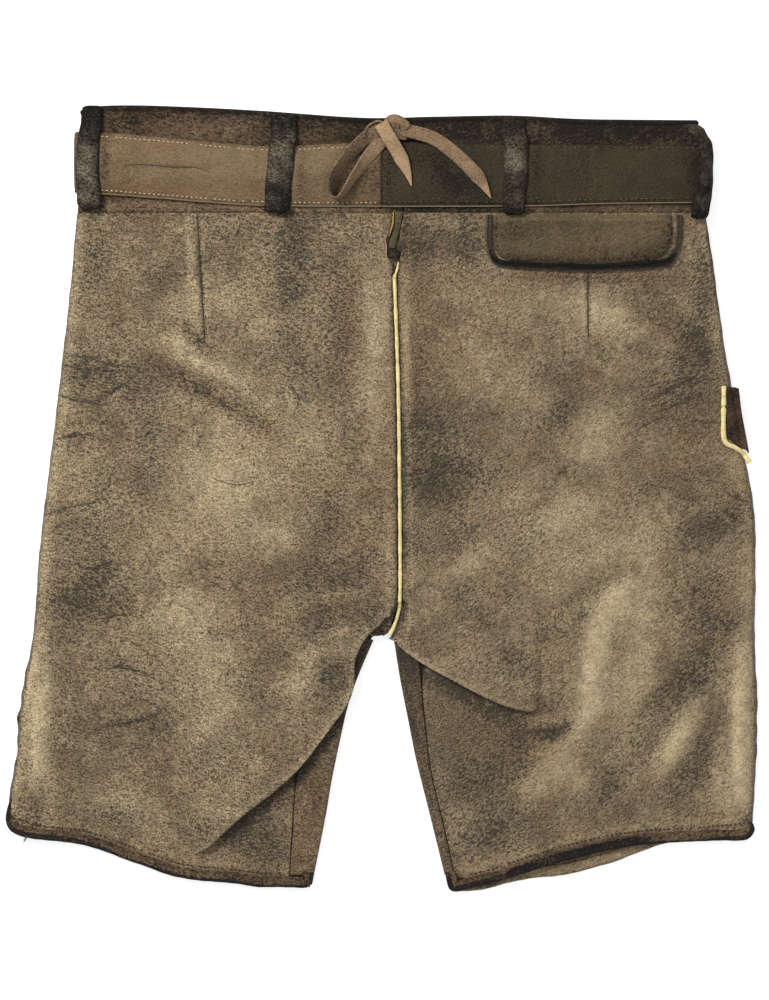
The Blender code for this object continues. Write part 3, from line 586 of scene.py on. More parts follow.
def makeLeatherGroup():
    # worn brushed leather: broad clouds, a short lying grain, and specks that crowd where it is dark
    colour, value, vector = "NodeSocketColor", "NodeSocketFloat", "NodeSocketVector"
    tree, given, out = newGroup("wornLeather", [
        ("Vector", vector, None), ("Wear", colour, None),
        ("Ground", colour, srgb(113, 98, 76)), ("Shade", colour, srgb(88, 75, 57)),
        ("Pale", colour, srgb(165, 148, 117)), ("Brown", colour, srgb(106, 82, 59)),
        ("Fleck", colour, srgb(42, 38, 30)),
        ("Fleck Size", value, 1.45), ("Fleck Amount", value, 0.0), ("Cloud Size", value, 48.0),
        ("Grain", value, 1.0),
    ], [("Colour", colour), ("Roughness", value), ("Height", value)])
    # the attribute's channels: dark (stains and painted shade), pale (rubbed wear and painted highlights),
    # brown (brown tone and painted shade)
    parts = addNode(tree, "ShaderNodeSeparateColor", {0: given.outputs["Wear"]})
    dark, pale, brown = parts.outputs[0], parts.outputs[1], parts.outputs[2]
    mm = inMillimetres(tree, given.outputs["Vector"])
    cloud = noise(tree, mm, calc(tree, "DIVIDE", 1.0, given.outputs["Cloud Size"]), 4.0, 0.5, 0.4)
    warm = noise(tree, mm, 1 / 31.0, 3.0, 0.55, 0.8)
    small = noise(tree, mm, 1 / 11.0, 4.0, 0.62, 0.3)
    # the grain lies level on the left of the seat and climbs on its right
    fleckScale = calc(tree, "DIVIDE", 1.0, given.outputs["Fleck Size"])
    grainLong = (2.2, 1.0, 1.0)
    level, climbing = (
        addNode(tree, "ShaderNodeMapping", {0: mm, "Rotation": (0, 0, math.radians(turn)),
                                            "Scale": grainLong}, vector_type="TEXTURE").outputs[0]
        for turn in (-8, 32)
    )
    fromMiddle = addNode(tree, "ShaderNodeSeparateXYZ", {0: mm}).outputs[0]
    sideShare = rampBetween(tree, fromMiddle, -20.0, 50.0)
    levelGrain = noise(tree, level, fleckScale, 3.0, 0.72, 0.4)
    climbingGrain = noise(tree, climbing, fleckScale, 3.0, 0.72, 0.4)
    lying = calc(tree, "ADD", calc(tree, "MULTIPLY", levelGrain, calc(tree, "SUBTRACT", 1.0, sideShare)),
                 calc(tree, "MULTIPLY", climbingGrain, sideShare))
    rounded = noise(tree, mm, fleckScale, 2.0, 0.6, 0.5)
    mixed = calc(tree, "ADD", calc(tree, "MULTIPLY", rounded, 0.4), calc(tree, "MULTIPLY", lying, 0.6))
    # the darker the place, the less of the field it needs to turn into a speck
    patchy = calc(tree, "MULTIPLY", dark, rampBetween(tree, small, 0.3, 0.66, 0.6, 1.2))
    amount = calc(tree, "ADD", calc(tree, "MULTIPLY", patchy, 0.17),
                  calc(tree, "MULTIPLY", given.outputs["Fleck Amount"], 0.06))
    mask = rampBetween(tree, calc(tree, "SUBTRACT", mixed, calc(tree, "SUBTRACT", 0.6, amount)), 0.0, 0.08)
    clouded = rampBetween(tree, cloud, 0.38, 0.62)
    ground = mixColour(tree, clouded, given.outputs["Shade"], given.outputs["Ground"])
    ground = mixColour(tree, rampBetween(tree, warm, 0.45, 0.7, 0.0, 0.35), ground, given.outputs["Brown"])
    ground = mixColour(tree, rampBetween(tree, small, 0.4, 0.75, 0.0, 0.25), ground, given.outputs["Pale"])
    paleShare = calc(tree, "MULTIPLY", pale, rampBetween(tree, small, 0.3, 0.62, 0.55, 1.0))
    ground = mixColour(tree, paleShare, ground, given.outputs["Pale"])
    ground = mixColour(tree, calc(tree, "MULTIPLY", brown, 0.7), ground, given.outputs["Brown"])
    ground = mixColour(tree, calc(tree, "MULTIPLY", patchy, 0.52), ground, given.outputs["Fleck"])
    # the nap: each tuft's tone differs, and more so where the leather is stained
    nap = calc(tree, "ADD", calc(tree, "MULTIPLY", noise(tree, mm, 1 / 1.05, 1.0, 0.5), 0.5),
               calc(tree, "MULTIPLY", lying, 0.5))
    swing = calc(tree, "ADD", 7.0, calc(tree, "MULTIPLY", dark, 4.0))
    swing = calc(tree, "MULTIPLY", swing, given.outputs["Grain"])
    softer = calc(tree, "ADD", calc(tree, "MULTIPLY", pale, 0.4), calc(tree, "MULTIPLY", sideShare, 0.2))
    swing = calc(tree, "MULTIPLY", swing, calc(tree, "SUBTRACT", 1.0, softer))
    tone = calc(tree, "ADD", 1.0, calc(tree, "MULTIPLY", calc(tree, "SUBTRACT", 0.5, nap), swing))
    tone = calc(tree, "MINIMUM", calc(tree, "MAXIMUM", tone, 0.22), 1.9)
    napTone = addNode(tree, "ShaderNodeHueSaturation", {"Value": tone, "Color": ground}).outputs[0]
    coloured = mixColour(tree, calc(tree, "MULTIPLY", mask, 0.75), napTone, given.outputs["Fleck"])
    height = calc(tree, "SUBTRACT", calc(tree, "MULTIPLY", small, 0.9), calc(tree, "MULTIPLY", nap, 1.4))
    rough = rampBetween(tree, mixed, 0.35, 0.65, 0.95, 0.78)
    tree.links.new(coloured, out.inputs["Colour"])
    tree.links.new(rough, out.inputs["Roughness"])
    tree.links.new(height, out.inputs["Height"])
    return tree


leatherGroup = makeLeatherGroup()


def leatherMaterial(name, bump=0.4, sheen=0.06, gloss=0.25, **values):
    made = bpy.data.materials.new(name)
    made.use_nodes = True
    tree = made.node_tree
    shader = tree.nodes["Principled BSDF"]
    where = addNode(tree, "ShaderNodeTexCoord").outputs["Object"]
    wear = addNode(tree, "ShaderNodeAttribute", attribute_name="wear").outputs["Color"]
    group = addNode(tree, "ShaderNodeGroup", node_tree=leatherGroup)
    tree.links.new(where, group.inputs["Vector"])
    tree.links.new(wear, group.inputs["Wear"])
    for label, value in values.items():
        words = "".join(" " + letter if letter.isupper() else letter for letter in label).strip().title()
        group.inputs[words].default_value = value
    tree.links.new(group.outputs["Colour"], shader.inputs["Base Color"])
    tree.links.new(group.outputs["Roughness"], shader.inputs["Roughness"])
    relief = addNode(tree, "ShaderNodeBump", {"Height": group.outputs["Height"], "Strength": bump,
                                              "Distance": 0.0006})
    tree.links.new(relief.outputs[0], shader.inputs["Normal"])
    shader.inputs["Sheen Weight"].default_value = sheen
    shader.inputs["Sheen Roughness"].default_value = 0.5
    shader.inputs["Specular IOR Level"].default_value = gloss
    return made


def plainMaterial(name, colour, roughness, bumpSize=0.5, bump=0.2, spread=0.18, metallic=0.0):
    # threads and small parts: one tone that varies a little, with a fine grain
    made = bpy.data.materials.new(name)
    made.use_nodes = True
    tree = made.node_tree
    shader = tree.nodes["Principled BSDF"]
    where = addNode(tree, "ShaderNodeTexCoord").outputs["Object"]
    mm = inMillimetres(tree, where)
    patchy = noise(tree, mm, 1 / 5.0, 4.0, 0.7)
    grain = noise(tree, mm, 1 / bumpSize, 2.0, 0.6)
    tone = rampBetween(tree, patchy, 0.3, 0.7, 1 - spread, 1 + spread)
    varied = addNode(tree, "ShaderNodeHueSaturation", {"Value": tone, "Color": colour}).outputs[0]
    tree.links.new(varied, shader.inputs["Base Color"])
    rough = rampBetween(tree, grain, 0.3, 0.7, roughness - 0.08, roughness + 0.08)
    tree.links.new(rough, shader.inputs["Roughness"])
    relief = addNode(tree, "ShaderNodeBump", {"Height": grain, "Strength": bump, "Distance": 0.0004})
    tree.links.new(relief.outputs[0], shader.inputs["Normal"])
    shader.inputs["Metallic"].default_value = metallic
    return made


def tonedLeather(name, tones, **values):
    # tones: ground, shade, pale, brown and fleck
    labels = ("ground", "shade", "pale", "brown", "fleck")
    return leatherMaterial(name, **values, **{label: srgb(*tone) for label, tone in zip(labels, tones)})


panelLeather = leatherMaterial("panelLeather")
frontLeather = tonedLeather(
    "frontLeather", ((98, 83, 63), (76, 64, 48), (165, 148, 117), (92, 70, 49), (42, 38, 30)))
bandLeather = tonedLeather(
    "bandLeather", ((70, 57, 43), (46, 38, 29), (122, 104, 80), (70, 51, 36), (15, 13, 11)),
    fleckAmount=0.9, cloudSize=18.0, grain=0.9, sheen=0.0, gloss=0.15)
beltLight = tonedLeather(
    "beltLight", ((107, 89, 67), (95, 79, 58), (122, 105, 82), (97, 74, 51), (44, 36, 28)),
    fleckSize=1.3, cloudSize=26.0, grain=0.38, sheen=0.0, gloss=0.15)
beltDark = tonedLeather(
    "beltDark", ((56, 49, 36), (46, 40, 30), (72, 63, 46), (54, 43, 30), (19, 17, 14)),
    fleckSize=1.2, bump=0.6, grain=0.6, sheen=0.0, gloss=0.12)
loopLeather = tonedLeather(
    "loopLeather", ((38, 34, 28), (25, 23, 19), (118, 109, 92), (46, 37, 28), (11, 11, 13)),
    fleckAmount=1.3, fleckSize=1.3, grain=1.1, sheen=0.0, gloss=0.1)
flapLeather = tonedLeather(
    "flapLeather", ((84, 73, 54), (68, 59, 44), (102, 90, 68), (76, 59, 42), (22, 19, 15)),
    bump=0.6, grain=0.75, sheen=0.0, gloss=0.12)
darkBinding = tonedLeather(
    "darkBinding", ((84, 70, 52), (66, 55, 42), (116, 98, 74), (82, 63, 45), (17, 17, 19)),
    fleckSize=1.3, fleckAmount=0.6, grain=1.0, sheen=0.0, gloss=0.15)
weltLeather = tonedLeather(
    "weltLeather", ((50, 43, 33), (36, 31, 25), (92, 84, 72), (50, 38, 28), (10, 10, 12)),
    fleckSize=1.4, sheen=0.0, grain=0.5, gloss=0.12)
knifeLeather = tonedLeather(
    "knifeLeather", ((66, 52, 41), (46, 37, 30), (98, 81, 62), (66, 46, 34), (16, 14, 14)),
    grain=0.7, sheen=0.0, gloss=0.15)
notchLeather = tonedLeather(
    "notchLeather", ((78, 72, 52), (60, 55, 40), (100, 92, 69), (90, 73, 49), (28, 26, 21)),
    grain=0.5, sheen=0.0, gloss=0.15)
suedeLace = tonedLeather(
    "suedeLace", ((124, 101, 77), (108, 87, 66), (170, 143, 110), (108, 84, 62), (40, 31, 24)),
    bump=0.25, sheen=0.1, fleckSize=1.2, cloudSize=14.0, grain=0.5)
rawEdge = plainMaterial("rawEdge", srgb(158, 140, 108), 0.85)
pipingYellow = plainMaterial("pipingYellow", srgb(208, 190, 134), 0.6, spread=0.22)
threadPale = plainMaterial("threadPale", srgb(166, 148, 118), 0.75)
threadBrown = plainMaterial("threadBrown", srgb(118, 103, 80), 0.8)
threadCream = plainMaterial("threadCream", srgb(186, 170, 138), 0.75)
threadOlive = plainMaterial("threadOlive", srgb(92, 81, 61), 0.8)
threadDark = plainMaterial("threadDark", srgb(34, 30, 28), 0.7)
creaseShade = plainMaterial("creaseShade", srgb(60, 51, 39), 0.9)
rawPink = plainMaterial("rawPink", srgb(150, 120, 98), 0.85)
rawOchre = plainMaterial("rawOchre", srgb(158, 122, 66), 0.8)
agedMetal = plainMaterial("agedMetal", srgb(148, 138, 116), 0.38, spread=0.25, metallic=1.0)
print("materials ready")


# The four leg panels

panels = {
    "upperRows": 168, "lowerRows": 98, "columns": 150,
    "frontUpper": 60, "frontLower": 84, "frontColumns": 70,
    "edgeRoll": 4.5, "edgeDrop": 2.3, "inset": 1.4, "tuckUnder": 4.0,
    "seamValley": 1.2, "seamReach": 2.6,
}


def softened(grid, reach):
    # a running mean over rows and columns of the grid
    for axis in (0, 1):
        width = 2 * reach + 1
        padded = np.concatenate([np.repeat(grid.take([0], axis), reach + 1, axis), grid,
                                 np.repeat(grid.take([-1], axis), reach, axis)], axis)
        total = np.cumsum(padded, axis)
        count = grid.shape[axis]
        late = total.take(range(width, width + count), axis)
        early = total.take(range(0, count), axis)
        grid = (late - early) / width
    return grid


def lipShadow(fold, away, share):
    # painted shadow on the lower layer where a lip overhangs it
    below = -away * fold["high"]
    near = np.exp(-((np.maximum(below - 3, 0) / 10) ** 2)) * (below > -1)
    return 1.2 * near * ease((1 - share) / 0.3) * ease(0.3 + share / 0.3)


def panelWearAndShade(x, y, z, reach=4):
    # stains and wear as placed, with painted shade in the creases, hollows, troughs, beside the centre piping
    # and under the fold lips, and painted highlights on what stands high and along the lips' edges
    dark = spotMask(darkSpotsAndShade, x, y)
    pale = spotMask(paleSpotsAndHighlights, x, y)
    brown = spotMask(brownSpotsAndShade, x, y)
    # painted shade in the creases and along the darts
    crease = np.zeros(x.shape)
    for line, rise, half in creases + darts:
        crease = crease + lineHeight(line, x, y, -rise, half * 0.8)
    # painted highlight where the surface stands above its surroundings, painted shade where it lies below
    stand = z - softened(z, reach)
    dark = dark + 0.5 * crease + np.clip(-stand * 0.35, 0, 0.3)
    pale = pale + np.clip(stand * 0.5, 0, 0.4)
    for fold in overhangs:
        # the lip's edge is made pale, as rubbed wear and as a painted highlight, at the place that leans out
        # furthest
        away, share = beside(foldLine(fold), x, y)
        lip = np.exp(-(((away * fold["high"] - fold["half"] / 3) / 1.6) ** 2)) * ease((1 - share) / 0.07)
        pale = pale + 0.7 * lip
        dark = dark * (1 - 0.7 * lip)
        # painted shadow beneath the lip
        under = lipShadow(fold, away, share)
        dark = dark + under
        pale = pale * (1 - np.clip(under, 0, 1))
    # painted shade along both sides of the centre piping
    seamAway = np.abs(beside(smoothLine(seamCentre, 40), x, y)[0])
    dark = dark + 0.9 * np.exp(-((seamAway / 2.6) ** 2))
    # painted highlights on the broad ridges, painted shade in the troughs
    for line, rise, half in waves:
        height = lineHeight(line, x, y, rise, half * 1.1)
        pale = pale + 0.16 * np.clip(height, 0, 3)
        dark = dark + 0.17 * np.clip(-height, 0, 3)
    return np.clip(dark, 0, 1.3), np.clip(pale, 0, 1), brown


seamLine = smoothLine(seamCentre, 120)
stitchedOff = np.array([pipingWide / 2 + 0.45, 0])
seamGap = np.array([leather["gap"] * 0.8, 0])


def backPanel(name, outer, notch, sign, lip, inseam, hem, flat, area):
    upper, lower, columns = panels["upperRows"], panels["lowerRows"], panels["columns"]
    stitched = seamLine + sign * stitchedOff
    above = smoothLine(joined(smoothLine(notch, 24), stitched)[::4], upper)
    sewn = np.array(inseam) + sign * seamGap
    below = smoothLine([above[-1], *lip, *sewn], lower)
    inner = joined(above, below)
    footLine = smoothLine(hem, columns)
    footLine = footLine - sign * across(footLine) * (hemBinding - 2.5)
    footLine[-1] = inner[-1]
    side = smoothLine([*outer[:-1], footLine[0]], upper + lower - 1)
    wander = 0.35 * np.sin(side[:, 1] / 6.1) + 0.3 * np.sin(side[:, 1] / 2.7 + 1)
    ragged = np.exp(-(((side[:, 1] + 160) / 34) ** 2)) * (1.0 if sign < 0 else 0.2)
    rubbed = ease((-95 - side[:, 1]) / 20) * (1.0 if sign < 0 else 0.8)
    side[:, 0] += wander * (0.35 + 1.6 * ragged)
    plan = patch(side, inner, between(side[0], inner[0], columns), footLine)
    x, y = plan[..., 0], plan[..., 1]
    z = lyingTop(x, y)
    sideAway = np.abs(beside(side[::4], x, y)[0])
    edge = np.clip(1 - sideAway / panels["edgeRoll"], 0, 1)
    z = z - panels["edgeDrop"] * (1 - np.sqrt(1 - edge**2))
    seamAway, seamShare = beside(seamLine[::3], x, y)
    seamAway = np.abs(seamAway)
    z = z - panels["seamValley"] * np.exp(-((seamAway / panels["seamReach"]) ** 2))
    z = z + 0.5 * np.exp(-(((seamAway - 7) / 4) ** 2))
    pucker = np.sin(seamShare * 240 + 2 * np.sin(seamShare * 31))
    z = z + 0.14 * pucker * np.exp(-(((seamAway - 5) / 4.5) ** 2))
    # the cloth over the hem binding's seam stands a little, and puckers between its stitches
    hemAway = np.abs(beside(footLine[::4], x, y)[0])
    z = z + 0.5 * np.exp(-(((hemAway - 7) / 4) ** 2)) - 0.4 * np.exp(-(((hemAway - 3) / 1.6) ** 2))
    dark, pale, brown = panelWearAndShade(x, y, z)
    dark = dark + 0.5 * np.exp(-((sideAway / 1.6) ** 2))
    dark = dark + 0.3 * ragged[:, None] * np.exp(-((sideAway / 5) ** 2))
    dark = dark + 0.7 * rubbed[:, None] * np.exp(-((sideAway / 2.4) ** 2))
    # painted shade along the panel's top, under the waistband's foot
    dark = dark + 0.5 * np.exp(-(((204 - y) / 4.5) ** 2)) * (0.7 + 0.3 * np.sin(x / 6.1))
    brown = np.clip(brown + 0.35 * np.exp(-((hemAway / 9) ** 2)), 0, 1)
    x, y, z = layOver(x, y, z)
    made = addGrid(name, x, y, z, sign > 0, [panelLeather], (np.clip(dark, 0, 1.2), pale, brown))
    finishPiece(made, "panel_leather", name)
    return made


def frontPanel(name, outer, innerEdge, sign, tuck, inseam, hem, flat, area):
    # the lower layer, and its wrap over the inner edge of the leg up to the inseam
    upper, lower, columns = panels["frontUpper"], panels["frontLower"], panels["frontColumns"]
    edge = smoothLine(innerEdge, lower)
    towards = -sign * across(edge)
    middleX = frontMiddle + sign * leather["gap"] / 2
    start = edge[0] - np.array([-sign * 2.2, 0])
    middle = smoothLine([(middleX, 203.2), (middleX, 100), (middleX, 0), (middleX, -70),
                         (middleX + sign * 1.5, -90), start], upper + 1)
    tuckCount = 30 if sign < 0 else 12
    sewn = smoothLine(np.array(inseam) - sign * seamGap, lower - tuckCount + 1)
    seam = joined(smoothLine(tuck, tuckCount), sewn)
    footLine = smoothLine(hem, columns)
    footLine = footLine - sign * across(footLine) * (hemBinding - 2.0)
    side = smoothLine([*(np.array(outer[:-1]) - sign * np.array([panels["inset"], 0])), footLine[0]],
                      upper + lower)
    radius = lyingTop(edge[:, 0], edge[:, 1], False) / 2
    footLine[-1] = edge[-1] - towards[-1] * 2.2
    floorEdge = edge - towards * radius[:, None]
    plan = patch(side, joined(middle, floorEdge), between(side[0], middle[0], columns), footLine)
    floorPoints = np.dstack([plan, frontLift(plan[..., 0], plan[..., 1])])
    angles = np.radians(np.linspace(-80, 90, 18))
    arcPlan = floorEdge[:, None] + (towards * radius[:, None])[:, None] * np.cos(angles)[None, :, None]
    arcHigh = radius[:, None] * (1 + np.sin(angles)[None])
    run = np.linspace(0, 1, 15)[1:][None, :, None]
    runPlan = floorEdge[:, None] * (1 - run) + seam[:, None] * run
    runHigh = lyingTop(runPlan[..., 0], runPlan[..., 1])
    # it sinks a little where it is sewn, and beneath the lip of the fold
    runHigh = runHigh - 0.9 * (run[..., 0] ** 6) + 0.3 * np.sin(runPlan[..., 1] / 7.3) * run[..., 0]
    wrap = np.concatenate([np.dstack([arcPlan, arcHigh]), np.dstack([runPlan, runHigh])], axis=1)
    rows, columns = plan.shape[:2]
    index = np.arange(rows * columns).reshape(rows, columns)
    wrapIndex = index.size + np.arange(wrap.shape[0] * wrap.shape[1]).reshape(wrap.shape[:2])
    wrapIndex = np.column_stack([index[rows - len(edge):, -1], wrapIndex])
    points = np.vstack([floorPoints.reshape(-1, 3), wrap.reshape(-1, 3)])
    x, y = points[:, 0], points[:, 1]
    dark, pale, brown = (spotMask(spots, x, y) for spots in (darkSpotsAndShade, paleSpotsAndHighlights, brownSpotsAndShade))
    # painted shadow beneath the lips of the folds
    for fold in overhangs:
        away, share = beside(foldLine(fold), x, y)
        under = lipShadow(fold, away, share)
        dark = dark + under
        pale = pale * (1 - np.clip(under, 0, 1))
    dark = np.clip(dark, 0, 1.25)
    faces = np.vstack([quads(index, sign < 0), quads(wrapIndex, sign < 0)])
    made = addSheet(name, points, faces, [frontLeather], (dark, pale * 0.6, np.clip(brown + 0.2, 0, 1)))
    finishPiece(made, "front_leather", name)
    return made


tuckedLip = {}
for fold, count in zip(overhangs, (5, 2)):
    line = np.array(fold["line"], float)
    under = line - fold["high"] * across(line) * panels["tuckUnder"]
    tuckedLip["left" if fold["high"] < 0 else "right"] = under[1:count] if count > 2 else under[:1]

cut = {
    "back_left": ((0.275, 0.49), 0.1185), "back_right": ((0.265, 0.485), 0.1150),
    "front_left": ((0.300, 0.50), 0.1300), "front_right": ((0.290, 0.50), 0.1280),
}
backPanel("back_left", sideLeft, notchLeft, -1, tuckedLip["left"], inseamLeft, hemLeft[:-1],
          *cut["back_left"])
backPanel("back_right", sideRight, notchRight, 1, tuckedLip["right"], inseamRight, hemRight[:-1],
          *cut["back_right"])
frontPanel("front_left", sideLeft, innerLeft, -1, tuckLeft, inseamLeft, hemLeft, *cut["front_left"])
frontPanel("front_right", sideRight, innerRight, 1, tuckRight, inseamRight, hemFrontRight,
           *cut["front_right"])


def roundedOutline(left, right, low, high, corner, topCorner, steps=8):
    points = []
    spots = [(right, low, corner, -90, (-1, 1)), (right, high, topCorner, 0, (-1, -1)),
             (left, high, topCorner, 90, (1, -1)), (left, low, corner, 180, (1, 1))]
    for x, y, radius, start, inward in spots:
        a = np.radians(np.linspace(start, start + 90, steps))
        arc = radius * np.column_stack([np.cos(a), np.sin(a)])
        points.append(np.array([x, y]) + np.array(inward) * radius + arc)
    return np.vstack(points)


def plate(name, outline, low, high, finish, edge=0.4):
    # a flat piece between two heights, its rim eased in one step at top and foot
    middle = outline.mean(axis=0)
    reach = np.linalg.norm(outline - middle, axis=1)[:, None]
    inset = outline - (outline - middle) / reach * edge
    levels = [(inset, low), (outline, low + edge), (outline, high - edge), (inset, high)]
    points = np.vstack([np.column_stack([line, np.full(len(line), z)]) for line, z in levels])
    count = len(outline)
    index = np.arange(4 * count).reshape(4, count)
    looped = np.column_stack([index, index[:, 0]])
    faces = [tuple(face[::-1]) for face in quads(looped)]
    faces += [tuple(index[0][::-1]), tuple(index[-1])]
    made = addMesh(name, points, faces, [finish])
    return paint(made, *[np.zeros(len(points))] * 3)


flapOutline = roundedOutline(-frontFlap["halfWide"], frontFlap["halfWide"], frontFlap["low"],
                             frontFlap["high"], frontFlap["corner"], 1.0)
flapPiece = plate("front_flap", flapOutline, 0.0, leather["thick"], frontLeather)
finishPiece(flapPiece, "front_leather", "front_flap")
print("panels ready")

# Waistband and belt

waistSides = {
    "left": {"sign": -1, "bandLow": 217.0, "bandHigh": 214.5, "belt": 216.4},
    "right": {"sign": 1, "bandLow": 228.0, "bandHigh": 226.5, "belt": 232.6},
}
bandTop = [(-217, 278), (-200, 281), (-159, 281), (-87, 277.5), (-15, 272.5), (39, 273.2), (93, 274),
           (147, 271.5), (222, 270.7)]
bandFoot = [(-218, 204), (230, 204)]
beltTop = [(-221, 262), (-200, 261.5), (-155, 258), (-87, 252), (-35, 253.4), (18, 255.4), (86, 253.4),
           (222, 252.5), (237, 252)]
beltFoot = [(-221, 218), (-200, 217), (-155, 213.6), (-87, 208.8), (6, 208), (107, 208.4), (158, 210),
            (237, 211)]
beltSeam = 0.5
buckleSize = {"wide": 46.0, "low": 205.5, "high": 257.0, "corner": 7.0}


def edgeHeight(line, x):
    # the edge's line eased between the points of its table
    table = smoothLine(line, 160)
    return np.interp(x, table[:, 0], table[:, 1])


def foldedBand(name, side, turns, start, end, edges, out, thick, finishes, shares, relief, wear):
    # a band from its start on the back, round one side, to its end on the front
    sign = side["sign"]
    radius = beltStack["bandRadius"] + out
    share = np.array(shares)[:, None]
    turn = turns[0] + (turns[1] - turns[0]) * share
    run = np.linspace(0, 1, 130)[None]
    angle = np.linspace(0, np.pi, 25)[None, 1:-1]
    backX = start + (sign * turn - start) * run
    sideX = sign * turn + 0 * angle
    frontX = end + (sign * turn - end) * (1 - np.linspace(0, 1, 50)[None])
    flatX = np.hstack([backX, sideX, frontX])
    level = np.concatenate([np.ones(130), np.cos(angle[0]), -np.ones(50)])
    aside = np.concatenate([np.zeros(130), np.sin(angle[0]), np.zeros(50)])
    top = edgeHeight(edges[0], flatX)
    foot = edgeHeight(edges[1], flatX)
    y = top + (foot - top) * share
    stand = relief(flatX, y, top - y, y - foot)
    x = flatX + sign * (radius + stand) * aside
    z = beltStack["bandMiddle"] + (radius + stand) * level
    dark, pale, brown = wear(flatX, y, top - y, y - foot)
    return addGrid(name, x, y, z, sign < 0, finishes, (dark, pale, brown), thick), x.shape


bandShares = np.concatenate([np.linspace(0, 0.13, 12), np.linspace(0.16, 0.84, 14), np.linspace(0.87, 1, 10)])


def bandRelief(x, y, fromTop, fromFoot):
    rim = 0.75 * np.exp(-(((fromTop - 1.9) / 1.5) ** 2)) - 1.0 * np.exp(-((fromTop / 0.7) ** 2))
    groove = -0.35 * np.exp(-(((fromTop - 5.0) / 0.8) ** 2))
    soft = 0.22 * np.sin(x / 11 + 2 * np.sin(y / 9)) + 0.14 * np.sin(x / 4.3 + y / 3.1)
    foot = 0.35 * np.exp(-(((fromFoot - 2.2) / 1.2) ** 2))
    return rim + groove + soft + foot - 0.25


# dark spots on the waistband; the two along its foot right of the notch are painted shadow under the belt
bandDarkAndShadow = [(-150, 274, 60, 6, -2, 0.3), (-185, 268, 20, 9, 0, 0.5), (-60, 268, 40, 9, 0, 0.5),
            (45, 266, 60, 12, 0, 0.85), (150, 268, 20, 8, 0, 0.95), (105, 264, 16, 8, 0, 0.4),
            (190, 265, 50, 12, 0, 0.75), (120, 265, 120, 30, 0, 0.55), (30, 205, 16, 6, 0, 1.0),
            (60, 205, 40, 6, 0, 0.6), (150, 262, 90, 14, 0, 0.4)]
bandPale = [(-135, 266, 30, 6, 0, 0.5), (-105, 267, 16, 6, 0, 0.5), (112, 266, 14, 6, 0, 0.3),
            (-130, 208, 90, 5, 0, 0.6), (-40, 204, 40, 5, 0, 0.5), (120, 204, 50, 5, 0, 0.2),
            (200, 205, 30, 5, 0, 0.2)]
bandBrown = [(-20, 266, 60, 12, 0, 0.5), (-150, 268, 60, 8, 0, 0.6), (60, 262, 60, 6, 0, 0.5),
             (-120, 206, 100, 8, 0, 0.4)]


def bandWearAndShade(x, y, fromTop, fromFoot):
    dark = spotMask(bandDarkAndShadow, x, y) + 1.2 * np.exp(-((fromTop / 3.4) ** 2))
    low = ease((9 - fromFoot) / 4) * ease((10 - x) / 6)
    pale = spotMask(bandPale, x, y) + 0.25 * low
    dark = dark * (1 - 0.5 * low) + 0.3 * low * (0.6 + 0.4 * np.sin(x / 7.3))
    return np.clip(dark, 0, 1.2), np.clip(pale, 0, 1), spotMask(bandBrown, x, y)


bandStarts = {"left": notchLeft[0][0], "right": notchRight[0][0]}
for word, side in waistSides.items():
    name = "waistband_" + word
    made, shape = foldedBand(
        name, side, (side["bandHigh"], side["bandLow"]), bandStarts[word],
        frontMiddle + side["sign"] * leather["gap"] / 2, (bandTop, bandFoot), 0.0,
        leather["thick"], [bandLeather], bandShares, bandRelief, bandWearAndShade)
    finishPiece(made, "waistband_leather", name)

beltShares = np.concatenate([[0, 0.012, 0.026, 0.045, 0.065], np.linspace(0.085, 0.915, 48),
                             [0.935, 0.955, 0.967, 0.972, 0.985, 1]])
rawRows = 1


def beltRelief(x, y, fromTop, fromFoot):
    wide = fromTop + fromFoot
    edges = -0.9 * np.exp(-((fromTop / 0.9) ** 2)) - 0.9 * np.exp(-((fromFoot / 0.9) ** 2))
    groove = -0.3 * np.exp(-(((fromTop - 3.2) / 0.9) ** 2)) - 0.3 * np.exp(-(((fromFoot - 3.2) / 0.9) ** 2))
    cushion = 0.35 * (1 - (2 * fromTop / wide - 1) ** 2)
    soft = 0.16 * np.sin(x / 17 + 1.4 * np.sin(y / 13)) + 0.1 * np.sin(x / 5.3 + y / 7.7)
    worn = [(-173, 238.5), (-160, 238), (-146, 236), (-133, 236.5), (-117, 234.5)]
    crease = lineHeight(worn, x, y, -0.8, 1.2)
    crease = crease + lineHeight([(-30, 233), (-29.5, 220)], x, y, -0.2, 2.0)
    seam = -0.45 * np.exp(-(((x - beltSeam) / 1.0) ** 2))
    seam = seam + 0.25 * np.exp(-(((np.abs(x - beltSeam) - 2.6) / 1.2) ** 2))
    return edges + groove + cushion + soft + crease + seam - 0.2


# dark spots on the belt, several of them painted shadow: beside the loops' edges, in the gap before the
# fourth loop, under the long lace end and inside the bow's loop
beltDarkSpotsAndShadows = [(-150, 236.5, 24, 1.4, -2, 0.5), (-212, 240, 16, 26, 0, 0.35),
                 (-100, 222, 20, 9, 0, 0.2), (-50, 220, 24, 9, 0, 0.25), (-185, 224, 16, 6, 0, 0.35),
                 (40, 232, 60, 24, 0, 0.3), (54, 226, 26, 11, -35, 0.8), (-5, 234, 11, 24, 0, 0.75),
                 (60, 214, 40, 6, 0, 0.3), (137, 228, 10, 16, 30, 0.35), (227, 235, 7, 30, 0, 1.0),
                 (-217, 238, 3, 30, 0, 0.9), (112, 232, 4, 28, 0, 0.7), (-199, 238, 4, 26, 0, 0.9),
                 (-57, 232, 3.5, 26, 0, 0.5), (30, 247, 24, 9, 0, 0.5), (4, 232, 5, 30, 0, 0.4),
                 (-24, 230, 15, 3.4, 56, 0.95), (-14, 244, 12, 2.6, 54, 0.8), (-20, 222, 12, 3, 50, 0.5)]
